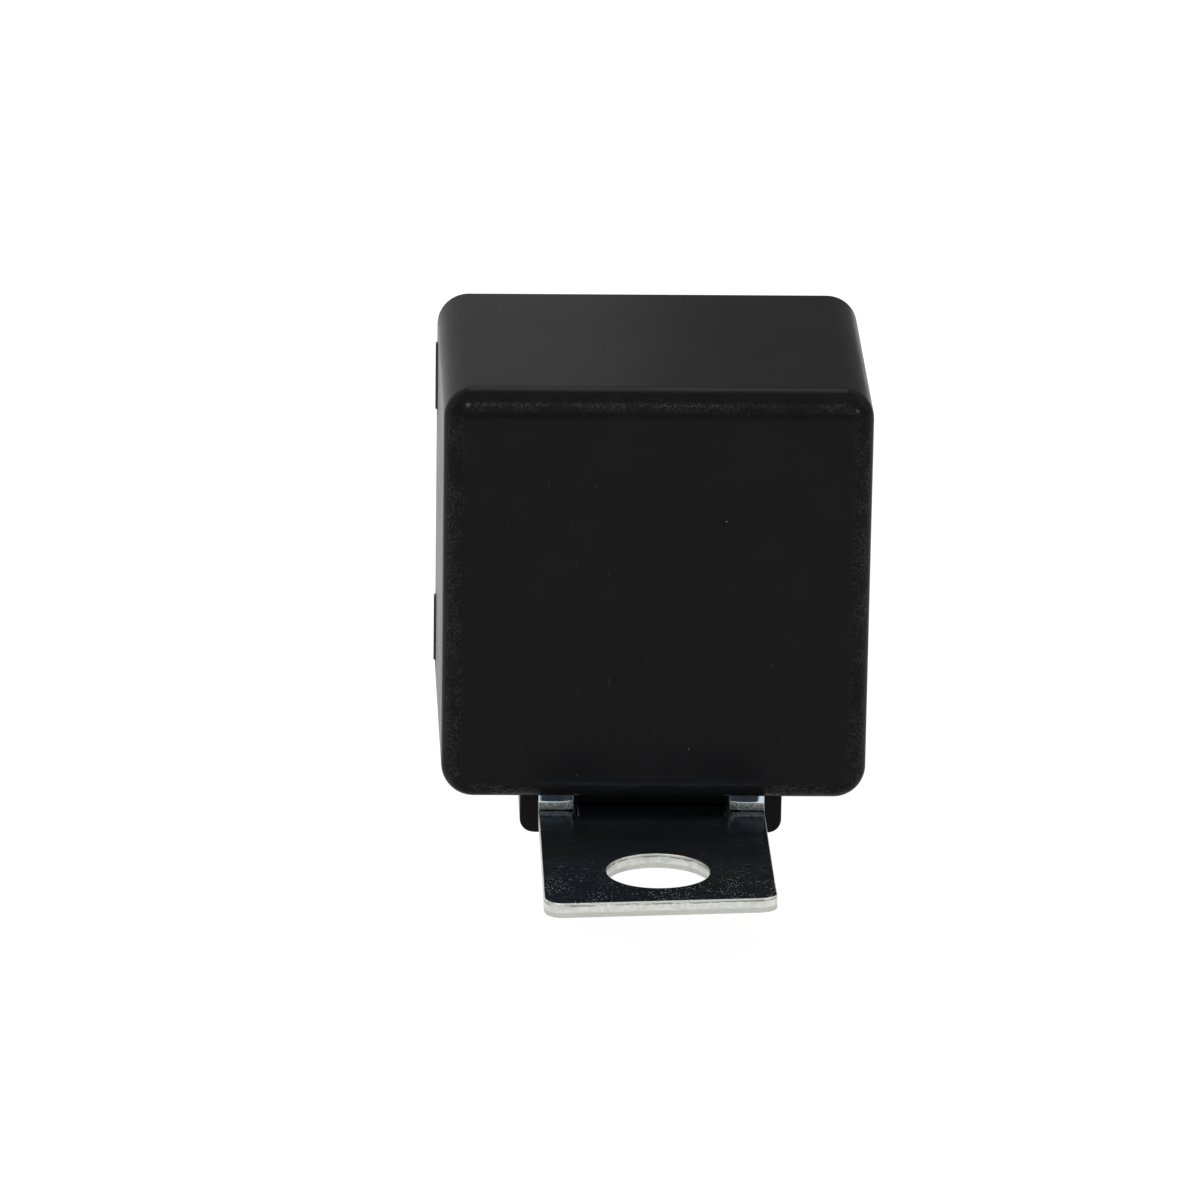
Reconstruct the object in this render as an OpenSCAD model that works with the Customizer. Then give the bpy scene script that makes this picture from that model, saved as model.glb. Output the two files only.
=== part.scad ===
// Five-blade automotive relay with a moulded cap and a steel mounting strap.
// The row frame has its origin in the strap's hole, on the mounting face. +Y runs
// from the strap's free end to the blades, and +Z is the axis of the hole.

/* [Cap] */
// Width of the cap across its closed end
cap_w = 27.6; // [27.4:0.1:28.2]
// Height of the cap across its closed end
cap_h = 27.6; // [27.4:0.1:28.2]
// Depth of the cap from its closed end to its open rim
cap_d = 23.8; // [23.4:0.1:24.6]
// Mould draft of each side wall, in degrees
cap_draft = 0.6; // [0.3:0.1:0.8]
// Thickness of the side walls at the rim
cap_wall = 1.2; // [1.1:0.05:1.3]
// Thickness of the closed end
cap_top_t = 1.4; // [1.2:0.1:1.5]
// Radius of the four long corners
cap_corner_r = 2.1; // [2.1:0.05:2.4]
// Radius of the edge round the closed end
cap_edge_r = 2; // [1.2:0.1:2]
// Width of each snap window
window_w = 5; // [4.6:0.1:5.4]
// Distance of the snap windows from the middle of a side
window_pitch = 8.8; // [8.4:0.1:9]

/* [Strap pocket] */
// Width of the pocket that holds the strap
pocket_w = 17.2; // [16.8:0.1:18]
// Length of the pocket along the cap
pocket_l = 10.5; // [10.2:0.1:12]
// How far the pocket's front stands back from the closed end
pocket_back = 4.8; // [4.4:0.1:5.4]
// Thickness of the pocket's floor under the strap
pocket_floor = 1; // [0.8:0.05:1.2]
// Thickness of the walls round the pocket's side cores
pocket_wall = 0.9; // [0.8:0.05:1]
// Radius of the pocket's lower corners
pocket_r = 0.9; // [0.6:0.1:1]

/* [Mounting strap] */
// Width of the strap
strap_w = 14.8; // [14.4:0.1:15.4]
// Thickness of the strap's sheet
strap_t = 1; // [0.9:0.05:1.1]
// Diameter of the mounting hole
hole_d = 6.6; // [5.3:0.1:6.8]
// Distance from the hole's centre to the free end
hole_to_tip = 6; // [5.6:0.1:7.5]
// Distance from the hole's centre to the cap's closed end
hole_to_cap = 8.2; // [7.8:0.1:9]
// Corner radius at the free end
strap_r = 1.2; // [0.8:0.1:2]
// Width of the tongue that the pocket grips
tongue_w = 9.6; // [9:0.1:9.8]
// Gap between the strap's upper face and the side of the cap
strap_gap = 1.7; // [1.5:0.05:1.9]

/* [Blades] */
// Width of a blade
blade_w = 6.3; // [6.2:0.05:6.3]
// Thickness of a blade
blade_t = 0.8; // [0.75:0.05:0.8]
// Length of a blade below the base
blade_l = 11.9; // [11:0.1:12.5]
// Distance between the two coil blades
coil_pitch = 16.8; // [16.8:0.1:17]
// Distance between the common blade and the working blade
load_pitch = 17.8; // [17.6:0.1:17.8]

/* [Magnet and contacts] */
// Diameter of the iron core
core_d = 6; // [5.5:0.1:6.2]
// Diameter of the pole head
pole_d = 9.5; // [9:0.1:10]
// Outer diameter of the winding
coil_d = 14; // [13:0.1:14.2]
// Thickness of the yoke
yoke_t = 1.5; // [1.4:0.05:1.5]
// Thickness of the armature
armature_t = 1.2; // [1.1:0.05:1.25]
// Angle by which the armature stands open at rest
open_angle = 2.2; // [2:0.05:2.25]
// Thickness of the contact spring
spring_t = 0.25; // [0.2:0.01:0.25]

/* [Hidden] */
$fn = 48;
eps = 0.01;

// Relay frame: x to the right, y as the row's Z, z from the rim to the closed end
rim_y = hole_to_cap + cap_d;
axis_z = strap_t + strap_gap + cap_h / 2;
draft = tan(cap_draft);

// Base: it sits inside the rim, under a step in the cap's wall
base_z = 0.3;
base_top = 3.4;
base_gap = 0.05;
step_z = base_top + 0.02;
step_in = 0.2;
base_w = cap_w + 2 * (draft * (cap_d - base_top) - cap_wall - base_gap);
base_h = cap_h + 2 * (draft * (cap_d - base_top) - cap_wall - base_gap);
base_r = 1;
recess_l = 0.8;
recess_rim = 1.3;
boss_wall = 1.2;
boss_r = 0.5;
rib_t = 0.9;
peg_l = 1.2;
foot_l = 1.2;
foot_in = 0.4;

// Snap windows in the cap and the noses that fill them
window_z = 1.3;
window_tall = 1.85;
nose_w = window_w - 0.5;
nose_out = 0.13;
nose_face = [0.15, 0.65];
nose_ramp = 1.7;

// Pocket and strap, in the row frame
pocket_y = hole_to_cap + pocket_back;
pocket_root = 0.6;
pocket_slope = 1.7;
core_front = 1.6;
core_top = strap_t + strap_gap - 0.3;
ear_x = tongue_w / 2 + 0.3;
ear_top = strap_t + strap_gap - 0.15;
bend_r = 0.6;
tongue_end = pocket_y + pocket_l - 1.6;
tongue_coin = 0.05;
coin_lead = 0.4;
tongue_cut = [0.8, 1.2];
notch_l = 0.6;
slot_gap = 0.05;
slot_end = tongue_end + 0.3;
catch_y = pocket_y + 5;
catch_w = 4;
catch_l = 2.4;
catch_gap = 0.15;
catch_lead = 0.4;

// Blades: the tip's taper and coining, the planes of the load circuit, and the inner strips
tip_taper = [1, 1.6];
tip_coin_l = 1.2;
weld_low = 0.9;
flange_cover = 0.4;
tag_notch_r = 0.3;
tag_notch_z = 0.9;
y_30 = load_pitch / 2;
y_87 = -load_pitch / 2;
y_87a = y_87 + 8;
strip_bend = 0.3;
strip_87_w = 5;
strip_87a_x = -8.2;
strip_87a_w = 3.6;
link_z = 1.6;
link_y = -7.4;
link_w = 2.8;
flange_reach = 1.7;
tag_w = 3;
tag_z = 7.2;
weld_z = 8.4;
weld_x = 5;

// Magnet: the levels of its pieces above the rim
hinge_z = cap_d - 5.6;
air_gap = 0.03;
pole_t = 1;
flange_t = 1;
bobbin_z = base_top + yoke_t;
bobbin_top = hinge_z - air_gap - pole_t;
bobbin_side = 15;
bobbin_r = 3;
bobbin_tube = 0.75;
core_gap = 0.05;
spigot_d = 4.5;
yoke_w = 13;
yoke_y = 8.8;
yoke_front = -5.5;
yoke_fold = 0.5;
peg_d = 1.9;
peg_x = 4.9;
peg_y = -3.6;

// Armature and contacts: the armature turns on the yoke's outer upper edge
hinge_y = yoke_y + yoke_t - 0.1;
armature_w = 12;
armature_l = 15.7;
lug_w = 1.3;
arm_chamfer = 1;
contact_l = 20.5;
contact_d = 3.2;
moving_low = 0.6;
moving_high = 0.5;
spring_fold = 0.9;
spring_low = 9;
spring_w = 9;
spring_eye_r = 1.8;
arm_rivet_y = 4;
arm_rivet_x = 2.2;
back_rivet_x = 2.4;
back_rivet_z = spring_low + 2.2;
rivet_r = 0.7;
arm_neck = 1.8;
arm_corner = 1.5;
fold_slot_w = 4.4;
contact_y = hinge_y - contact_l;
nc_y = contact_y + 0.1;
pad_r = 1.9;
stem_r = 0.8;
fixed_stem_r = 0.9;
rivet_foot = 0.2;
dome_r = 12;
no_face = hinge_z + armature_t - moving_low - air_gap;
no_head = 0.5;
flange_87 = no_face - no_head;
moving_top = armature_t + spring_t + moving_high;
nc_face = hinge_z + contact_l * sin(open_angle) + moving_top * cos(open_angle) + 0.02;
nc_head = 0.4;
arm_87a = nc_face + nc_head;

// Resistor and wires
resistor_d = 2.2;
resistor_l = 6.2;
resistor_cap_l = 1.3;
resistor_y = -11;
resistor_z = 5.4;
lead_r = 0.3;
lead_fold = 1;
wire_r = 0.15;
wire_y = 1;

// Puts a piece from the relay frame into the row frame
module in_relay() {
    translate([0, rim_y, axis_z]) rotate([90, 0, 0]) children();
}

// Puts a piece of the works into the row frame, with the common blade on the strap's side
module in_works() {
    in_relay() rotate([0, 0, 180]) children();
}

// Turns an outline drawn in (y, z) into a plate centred on x = 0
module across(width) {
    rotate([90, 0, 90]) linear_extrude(width, center = true) children();
}

// A rectangle with four round corners, centred
module round_rect(w, h, r) {
    square([w - 2 * r, h], center = true);
    square([w, h - 2 * r], center = true);
    for (x = [-1, 1], y = [-1, 1])
        translate([x * (w / 2 - r), y * (h / 2 - r)]) circle(r);
}

// A quarter of a ring about the origin, in the quadrant of positive x and y
module quarter_ring(inner, outer) {
    difference() {
        intersection() {
            circle(outer);
            square(outer + 1);
        }
        circle(inner);
    }
}

// ---------- cap ----------

// One of the cap's long corners at its closed end, with a rolled edge
module corner_end(r, edge) {
    rotate_extrude($fn = 32) {
        square([r - edge, edge]);
        translate([r - edge, 0]) intersection() {
            circle(edge, $fn = 32);
            square(edge);
        }
    }
}

// The drafted outer block of the cap
module cap_block() {
    open_x = cap_w / 2 + draft * cap_d - cap_corner_r;
    open_y = cap_h / 2 + draft * cap_d - cap_corner_r;
    end_x = cap_w / 2 + draft * cap_edge_r - cap_corner_r;
    end_y = cap_h / 2 + draft * cap_edge_r - cap_corner_r;
    hull() {
        for (x = [-1, 1], y = [-1, 1]) {
            translate([x * open_x, y * open_y, 0]) cylinder(r = cap_corner_r, h = eps, $fn = 32);
            translate([x * end_x, y * end_y, cap_d - cap_edge_r]) corner_end(cap_corner_r, cap_edge_r);
        }
    }
}

// A drafted hollow from level z0 to level z1, with its wall measured at each level
module cap_hollow(z0, z1, wall) {
    r = cap_corner_r - wall;
    hull() {
        for (x = [-1, 1], y = [-1, 1], z = [z0, z1]) {
            side_x = cap_w / 2 + draft * (cap_d - z) - cap_corner_r;
            side_y = cap_h / 2 + draft * (cap_d - z) - cap_corner_r;
            translate([x * side_x, y * side_y, z - eps / 2]) cylinder(r = r, h = eps, $fn = 24);
        }
    }
}

// The block under the cap that holds the strap, with a sloped rear end
module pocket_block() {
    low = -axis_z - pocket_floor;
    high = -cap_h / 2 + pocket_root;
    front = cap_d - pocket_back;
    slope = pocket_slope * sqrt(2);
    difference() {
        translate([0, 0, front - pocket_l]) linear_extrude(pocket_l) {
            translate([-pocket_w / 2 + pocket_r, low]) square([pocket_w - 2 * pocket_r, high - low]);
            translate([-pocket_w / 2, low + pocket_r]) square([pocket_w, high - low - pocket_r]);
            for (x = [-1, 1])
                translate([x * (pocket_w / 2 - pocket_r), low + pocket_r]) circle(pocket_r);
        }
        translate([0, low, front - pocket_l]) rotate([45, 0, 0])
            cube([pocket_w + 2, slope, slope], center = true);
    }
}

// The room for the tongue, open at the pocket's front
module strap_slot() {
    w = tongue_w + 2 * slot_gap;
    t = strap_t + 2 * slot_gap;
    translate([-w / 2, pocket_y - 1, -slot_gap]) cube([w, slot_end - pocket_y + 1, t]);
}

// The hollows that keep the pocket's sides as thin as its floor, open at its rear
module pocket_cores() {
    inner = tongue_w / 2 + slot_gap + pocket_wall;
    w = pocket_w / 2 - pocket_wall - inner;
    low = pocket_wall - pocket_floor;
    from = pocket_y + core_front;
    for (side = [0, 1])
        mirror([side, 0, 0]) translate([inner, from, low])
            cube([w, pocket_y + pocket_l + 1 - from, core_top - low]);
}

// The wedge that stands in the tongue's window and keeps the strap from sliding out
module catch_nose() {
    low = -slot_gap - eps;
    half = catch_l / 2 - catch_gap;
    high = 0.75 * strap_t;
    translate([0, catch_y, 0]) across(catch_w - 2 * catch_gap)
        polygon([[-half, low], [half, low], [half, high], [half - catch_lead, high]]);
}

// The four openings near the rim that the base snaps into
module snap_windows() {
    for (x = [-1, 1], y = [-1, 1])
        translate([x * cap_w / 2, y * window_pitch, window_z + window_tall / 2])
            cube([4, window_w, window_tall], center = true);
}

module cap() {
    color("#1b1b1d") {
        difference() {
            in_relay() difference() {
                union() {
                    cap_block();
                    pocket_block();
                }
                cap_hollow(step_z, cap_d - cap_top_t, cap_wall + step_in);
                cap_hollow(0, step_z, cap_wall);
                snap_windows();
            }
            strap_slot();
            pocket_cores();
        }
        catch_nose();
    }
}

// ---------- mounting strap ----------

// The flat outline of the strap: free end, tongue and catch window
module strap_outline() {
    tip = -hole_to_tip;
    ear_y = pocket_y - strap_t - bend_r;
    translate([-strap_w / 2, tip + strap_r]) square([strap_w, ear_y - tip - strap_r]);
    translate([-strap_w / 2 + strap_r, tip]) square([strap_w - 2 * strap_r, strap_r + eps]);
    for (x = [-1, 1])
        translate([x * (strap_w / 2 - strap_r), tip + strap_r]) circle(strap_r);
    polygon([
        [-tongue_w / 2, ear_y - eps], [tongue_w / 2, ear_y - eps],
        [tongue_w / 2, tongue_end - tongue_cut.y], [tongue_w / 2 - tongue_cut.x, tongue_end],
        [-tongue_w / 2 + tongue_cut.x, tongue_end], [-tongue_w / 2, tongue_end - tongue_cut.y]
    ]);
}

// One ear: the sheet folds up in front of the pocket
module ear(side) {
    w = strap_w / 2 - ear_x;
    fold_y = pocket_y - strap_t - bend_r;
    translate([side * (ear_x + w / 2), 0, 0]) across(w) {
        translate([fold_y, strap_t + bend_r]) mirror([0, 1]) quarter_ring(bend_r, bend_r + strap_t);
        translate([pocket_y - strap_t, strap_t + bend_r]) square([strap_t, ear_top - strap_t - bend_r]);
    }
}

// The tongue's underside is coined a little thinner, so that it slides into its slot
module tongue_coining() {
    translate([-tongue_w / 2 - 1, pocket_y - coin_lead, -1]) cube([tongue_w + 2, pocket_l, 1 + tongue_coin]);
}

module mounting_bracket() {
    notch_r = (ear_x - tongue_w / 2) / 2;
    color("#c9cdcb") difference() {
        union() {
            linear_extrude(strap_t) strap_outline();
            for (side = [-1, 1])
                ear(side);
        }
        translate([0, 0, -1]) cylinder(d = hole_d, h = strap_t + 2);
        translate([-catch_w / 2, catch_y - catch_l / 2, -1]) cube([catch_w, catch_l, strap_t + 2]);
        for (x = [-1, 1])
            translate([x * (tongue_w / 2 + notch_r), pocket_y - strap_t - bend_r - notch_l, -1]) {
                cylinder(r = notch_r, h = strap_t + 2);
                translate([-notch_r, 0, 0]) cube([2 * notch_r, 1, strap_t + 2]);
            }
        tongue_coining();
    }
}

// ---------- terminals ----------

// A blade that hangs from z = base_z, with its width along x and a coined tip
module blade() {
    half = blade_w / 2;
    tip = base_z - blade_l;
    intersection() {
        rotate([90, 0, 0]) linear_extrude(blade_t, center = true)
            polygon([
                [-half, base_z], [half, base_z], [half, tip + tip_taper.y], [half - tip_taper.x, tip],
                [-half + tip_taper.x, tip], [-half, tip + tip_taper.y]
            ]);
        across(blade_w + 1)
            polygon([
                [-blade_t / 2, base_z], [blade_t / 2, base_z], [blade_t / 2, tip + tip_coin_l],
                [blade_t / 4, tip], [-blade_t / 4, tip], [-blade_t / 2, tip + tip_coin_l]
            ]);
    }
}

// The common blade, with a wing that is welded to the yoke's back
module terminal_30_solid() {
    t = blade_t;
    out = yoke_y + yoke_t;
    low = y_30 - blade_w / 2;
    translate([0, y_30, 0]) rotate([0, 0, 90]) blade();
    translate([-t / 2, low, base_z - eps]) cube([t, blade_w, base_top - base_z - flange_cover]);
    translate([0, 0, base_z]) linear_extrude(base_top - base_z - flange_cover) {
        translate([-t / 2, low]) square([t, out - strip_bend - low]);
        translate([t / 2 + strip_bend, out - strip_bend]) mirror([1, 0])
            quarter_ring(strip_bend, strip_bend + t);
    }
    translate([t / 2 + strip_bend - eps, out, base_z + weld_low])
        cube([weld_x - t / 2 - strip_bend, t, weld_z - base_z - weld_low]);
}

// A coil blade at a given side, with a tag for the coil wire
module coil_terminal_solid(side) {
    translate([side * coil_pitch / 2, 0, 0]) {
        rotate([0, 0, 90]) blade();
        rotate([90, 0, 90]) linear_extrude(blade_t, center = true) {
            translate([-blade_w / 2, base_z - eps]) square([blade_w, base_top - base_z - flange_cover]);
            difference() {
                translate([-tag_w / 2, base_z]) square([tag_w, tag_z - base_z]);
                for (y = [-1, 1])
                    translate([y * tag_w / 2, tag_z - tag_notch_z]) circle(tag_notch_r);
            }
        }
    }
}

// The working blade: its strip rises beside the coil and folds out under the contact
module terminal_87_solid() {
    top = flange_87 - blade_t - strip_bend;
    face = y_87 - blade_t / 2;
    translate([0, y_87, 0]) blade();
    translate([-blade_w / 2, face, base_z - eps])
        cube([blade_w, blade_t, base_top - base_z - flange_cover]);
    across(strip_87_w) {
        translate([face, base_z]) square([blade_t, top - base_z]);
        translate([face - strip_bend, top]) quarter_ring(strip_bend, strip_bend + blade_t);
        translate([contact_y - flange_reach, flange_87 - blade_t])
            square([face - strip_bend - contact_y + flange_reach, blade_t]);
    }
}

// The resting blade: a link inside the base leads to a strip with an arm over the contact
module terminal_87a_solid() {
    t = blade_t;
    face = y_87 - t / 2;
    strip_x = strip_87a_x + strip_87a_w / 2;
    fold = arm_87a - strip_bend;
    translate([0, y_87a, 0]) blade();
    translate([-blade_w / 2, y_87a - t / 2, base_z - eps]) cube([blade_w, t, link_z - base_z - strip_bend + eps]);
    across(blade_w)
        translate([y_87a - t / 2 - strip_bend, link_z - strip_bend]) quarter_ring(strip_bend, strip_bend + t);
    translate([0, 0, link_z]) linear_extrude(t) {
        translate([-blade_w / 2, link_y])
            square([blade_w, y_87a - t / 2 - strip_bend - link_y]);
        translate([strip_87a_x, link_y]) square([blade_w / 2 - strip_87a_x, link_w]);
        translate([strip_87a_x, face + t + strip_bend])
            square([strip_87a_w, link_y - face - t - strip_bend + eps]);
    }
    translate([strip_x, 0, 0]) across(strip_87a_w) {
        translate([face + t + strip_bend, link_z + t + strip_bend]) mirror([1, 0]) mirror([0, 1])
            quarter_ring(strip_bend, strip_bend + t);
        translate([face, link_z + t + strip_bend]) square([t, fold - link_z - t - strip_bend]);
        translate([face - strip_bend, fold]) quarter_ring(strip_bend, strip_bend + t);
    }
    translate([0, 0, arm_87a]) linear_extrude(t) {
        translate([strip_87a_x, contact_y - pad_r + 0.1])
            square([-strip_87a_x, face - strip_bend - contact_y + pad_r - 0.1]);
        translate([0, nc_y]) circle(pad_r);
    }
}

module terminal_30() {
    color("#c2c3c0") in_works() terminal_30_solid();
}

module terminal_85() {
    color("#c2c3c0") in_works() coil_terminal_solid(1);
}

module terminal_86() {
    color("#c2c3c0") in_works() coil_terminal_solid(-1);
}

module terminal_87() {
    color("#c2c3c0") in_works() difference() {
        terminal_87_solid();
        translate([0, contact_y, flange_87 - 2]) cylinder(r = fixed_stem_r, h = 3);
    }
}

module terminal_87a() {
    color("#c2c3c0") in_works() difference() {
        terminal_87a_solid();
        translate([0, nc_y, arm_87a - 1]) cylinder(r = fixed_stem_r, h = 3);
    }
}

// ---------- base ----------

// A rim of the base's underside stands proud, and so does a boss round each blade
module underside_recess() {
    long = blade_w + 2 * boss_wall;
    short = blade_t + 2 * boss_wall;
    translate([0, 0, base_z - eps]) linear_extrude(recess_l) difference() {
        round_rect(base_w - 2 * recess_rim, base_h - 2 * recess_rim, base_r / 2 + 0.1);
        for (x = [-1, 1])
            translate([x * coil_pitch / 2, 0]) round_rect(short, long, boss_r);
        for (y = [y_87, y_87a])
            translate([0, y]) round_rect(long, short, boss_r);
        translate([0, y_30]) round_rect(short, long, boss_r);
        square([base_w, rib_t], center = true);
    }
}

// Snap noses: a ramp on the side of the closed end and a square edge towards the rim
module snap_noses() {
    root = base_w / 2 - 0.1;
    reach = cap_w / 2 + draft * (cap_d - window_z) + nose_out;
    for (x = [0, 1], y = [-1, 1])
        mirror([x, 0, 0]) translate([0, y * window_pitch, 0]) rotate([90, 0, 0])
            linear_extrude(nose_w, center = true)
                polygon([
                    [root, window_z + nose_face[0]], [reach, window_z + nose_face[0]],
                    [reach, window_z + nose_face[1]], [root, window_z + nose_ramp]
                ]);
}

module base() {
    color("#202022") in_works() difference() {
        union() {
            translate([0, 0, base_z]) linear_extrude(base_top - base_z) round_rect(base_w, base_h, base_r);
            snap_noses();
            for (x = [-1, 1])
                translate([x * peg_x, peg_y, base_top - eps]) cylinder(d = peg_d, h = peg_l);
            translate([-strip_87_w, -base_h / 2 + foot_in, base_top - eps])
                cube([2 * strip_87_w, y_87 - blade_t / 2 - base_gap + base_h / 2 - foot_in, foot_l]);
        }
        underside_recess();
        translate([0, resistor_y, resistor_z]) rotate([0, 90, 0])
            cylinder(d = resistor_d + 0.1, h = 2 * strip_87_w + 1, center = true);
        terminal_30_solid();
        coil_terminal_solid(1);
        coil_terminal_solid(-1);
        terminal_87_solid();
        terminal_87a_solid();
    }
}

// ---------- magnet ----------

module yoke() {
    out = yoke_y + yoke_t;
    fold = yoke_fold;
    color("#8f9194") in_works() difference() {
        union() {
            across(yoke_w) {
                translate([yoke_front, base_top]) square([yoke_y - fold - yoke_front, yoke_t]);
                translate([yoke_y - fold, bobbin_z + fold]) mirror([0, 1]) quarter_ring(fold, fold + yoke_t);
                translate([yoke_y, bobbin_z + fold]) square([yoke_t, hinge_z - 0.02 - bobbin_z - fold]);
            }
            for (x = [-1, 1])
                translate([x * (yoke_w - lug_w) / 2, yoke_y + yoke_t / 2, hinge_z + 0.2])
                    cube([lug_w, yoke_t, 1.6], center = true);
        }
        translate([0, 0, base_top - 1]) cylinder(d = spigot_d, h = yoke_t + 2);
        for (x = [-1, 1])
            translate([x * peg_x, peg_y, base_top - 1]) cylinder(d = peg_d + 0.1, h = yoke_t + 2);
        for (x = [-1, 1])
            translate([x * back_rivet_x, out + 1, back_rivet_z]) rotate([90, 0, 0])
                cylinder(r = rivet_r, h = 4);
    }
}

module core() {
    color("#a6a8ab") in_works() translate([0, 0, base_top]) rotate_extrude()
        polygon([
            [0, 0], [spigot_d / 2 - 0.2, 0], [spigot_d / 2, 0.2], [spigot_d / 2, yoke_t],
            [core_d / 2, yoke_t], [core_d / 2, bobbin_top - base_top],
            [pole_d / 2, bobbin_top - base_top], [pole_d / 2, bobbin_top - base_top + pole_t - 0.2],
            [pole_d / 2 - 0.2, bobbin_top - base_top + pole_t], [0, bobbin_top - base_top + pole_t]
        ]);
}

module bobbin() {
    inner = core_d / 2 + core_gap;
    color("#d8cfb4") in_works() difference() {
        union() {
            translate([0, 0, bobbin_z]) cylinder(r = inner + bobbin_tube, h = bobbin_top - bobbin_z);
            for (z = [bobbin_z, bobbin_top - flange_t])
                translate([0, 0, z]) linear_extrude(flange_t) round_rect(bobbin_side, bobbin_side, bobbin_r);
        }
        translate([0, 0, bobbin_z - 1]) cylinder(r = inner, h = bobbin_top - bobbin_z + 2);
        for (x = [-1, 1])
            translate([x * bobbin_side / 2, wire_y, bobbin_z + flange_t]) rotate([0, 90, 0])
                cylinder(r = 2 * wire_r, h = 1.4, center = true);
    }
}

module winding() {
    inner = core_d / 2 + core_gap + bobbin_tube;
    tall = bobbin_top - bobbin_z - 2 * flange_t;
    color("#b4642f") in_works() translate([0, 0, bobbin_z + flange_t]) difference() {
        cylinder(d = coil_d, h = tall);
        translate([0, 0, -1]) cylinder(r = inner, h = tall + 2);
    }
}

// Each end of the winding crosses to its tag and is wound round it
module coil_leads() {
    face = coil_pitch / 2 - blade_t / 2;
    lift = bobbin_z + flange_t + wire_r + 0.05;
    from = coil_d / 2 - 0.1;
    color("#b4642f") in_works() for (side = [-1, 1]) {
        difference() {
            union() {
                translate([side * from, wire_y, lift]) rotate([0, side * 90, 0])
                    cylinder(r = wire_r, h = face - from, $fn = 16);
                translate([side * coil_pitch / 2, 0, lift - 2 * wire_r]) linear_extrude(6 * wire_r)
                    round_rect(blade_t + 4 * wire_r, tag_w + 4 * wire_r, 2 * wire_r);
            }
            translate([side * coil_pitch / 2, 0, lift]) cube([blade_t, tag_w, 4], center = true);
            translate([0, 0, lift - 2]) cylinder(d = coil_d, h = 4);
        }
    }
}

module resistor_body() {
    r = resistor_d / 2;
    neck = resistor_l / 2 - resistor_cap_l;
    color("#b79e74") in_works() translate([0, resistor_y, resistor_z]) rotate([0, 90, 0])
        rotate_extrude() difference() {
            union() {
                translate([0, -neck]) square([r - 0.15, 2 * neck]);
                for (z = [-1, 1])
                    translate([0, z * neck - resistor_cap_l / 2]) square([r, resistor_cap_l]);
                for (z = [-1, 1])
                    translate([0, z * (neck + resistor_cap_l / 2) - 0.4]) square([r - 0.4, 0.8]);
            }
            translate([-r, -resistor_l]) square([r, 2 * resistor_l]);
        }
}

// The resistor's wires run along the base and up to the outer faces of the coil tags
module resistor_leads() {
    from = resistor_l / 2 - 0.25;
    side_x = coil_pitch / 2 + blade_t / 2 + lead_r;
    color("#c4c6c8") in_works() for (side = [0, 1]) mirror([side, 0, 0]) translate([0, 0, resistor_z]) {
        translate([from, resistor_y, 0]) rotate([0, 90, 0])
            cylinder(r = lead_r, h = side_x - lead_fold - from, $fn = 16);
        translate([side_x - lead_fold, resistor_y + lead_fold, 0]) rotate([0, 0, -90])
            rotate_extrude(angle = 90) translate([lead_fold, 0]) circle(lead_r, $fn = 16);
        translate([side_x, resistor_y + lead_fold, 0]) rotate([-90, 0, 0])
            cylinder(r = lead_r, h = 1.2 - resistor_y - lead_fold, $fn = 16);
    }
}

// ---------- armature and contacts ----------

// Places a piece that is drawn on the closed armature, hinge edge at the origin, at rest
module on_armature() {
    translate([0, hinge_y, hinge_z]) rotate([-open_angle, 0, 0]) children();
}

module armature() {
    back_w = yoke_w - 2 * lug_w - 0.2;
    color("#9a9ca0") in_works() on_armature() intersection() {
        difference() {
            linear_extrude(armature_t)
                polygon([
                    [-back_w / 2, 0], [-back_w / 2, -arm_neck], [-armature_w / 2, -arm_neck],
                    [-armature_w / 2, arm_corner - armature_l],
                    [-armature_w / 2 + arm_corner, -armature_l],
                    [armature_w / 2 - arm_corner, -armature_l],
                    [armature_w / 2, arm_corner - armature_l],
                    [armature_w / 2, -arm_neck], [back_w / 2, -arm_neck], [back_w / 2, 0]
                ]);
            for (x = [-1, 1])
                translate([x * arm_rivet_x, -hinge_y + arm_rivet_y, -1]) cylinder(r = rivet_r, h = armature_t + 2);
        }
        across(armature_w + 2)
            polygon([
                [-armature_l - 1, 0], [0, 0], [0, armature_t - arm_chamfer],
                [-arm_chamfer, armature_t], [-armature_l - 1, armature_t]
            ]);
    }
}

module armature_rivets() {
    color("#c4c6c8") in_works() on_armature() for (x = [-1, 1])
        translate([x * arm_rivet_x, -hinge_y + arm_rivet_y, 0]) rotate_extrude()
            polygon([
                [0, 0], [rivet_r, 0], [rivet_r, armature_t + spring_t], [1.3, armature_t + spring_t],
                [1.3, armature_t + spring_t + 0.2], [1, armature_t + spring_t + 0.4],
                [0, armature_t + spring_t + 0.4]
            ]);
}

// Outline of the spring's long leg on the armature, seen along the armature's normal
module spring_plan() {
    difference() {
        union() {
            translate([-spring_w / 2, -9]) square([spring_w, 14]);
            translate([-3.6, -15]) square([7.2, 7]);
            translate([-spring_eye_r, -contact_l]) square([2 * spring_eye_r, 8]);
            translate([0, -contact_l]) circle(spring_eye_r);
        }
        translate([0, -contact_l]) circle(stem_r);
        for (x = [-1, 1])
            translate([x * arm_rivet_x, -hinge_y + arm_rivet_y]) circle(rivet_r);
        translate([-fold_slot_w / 2, -3.6]) square([fold_slot_w, 9]);
    }
}

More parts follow.
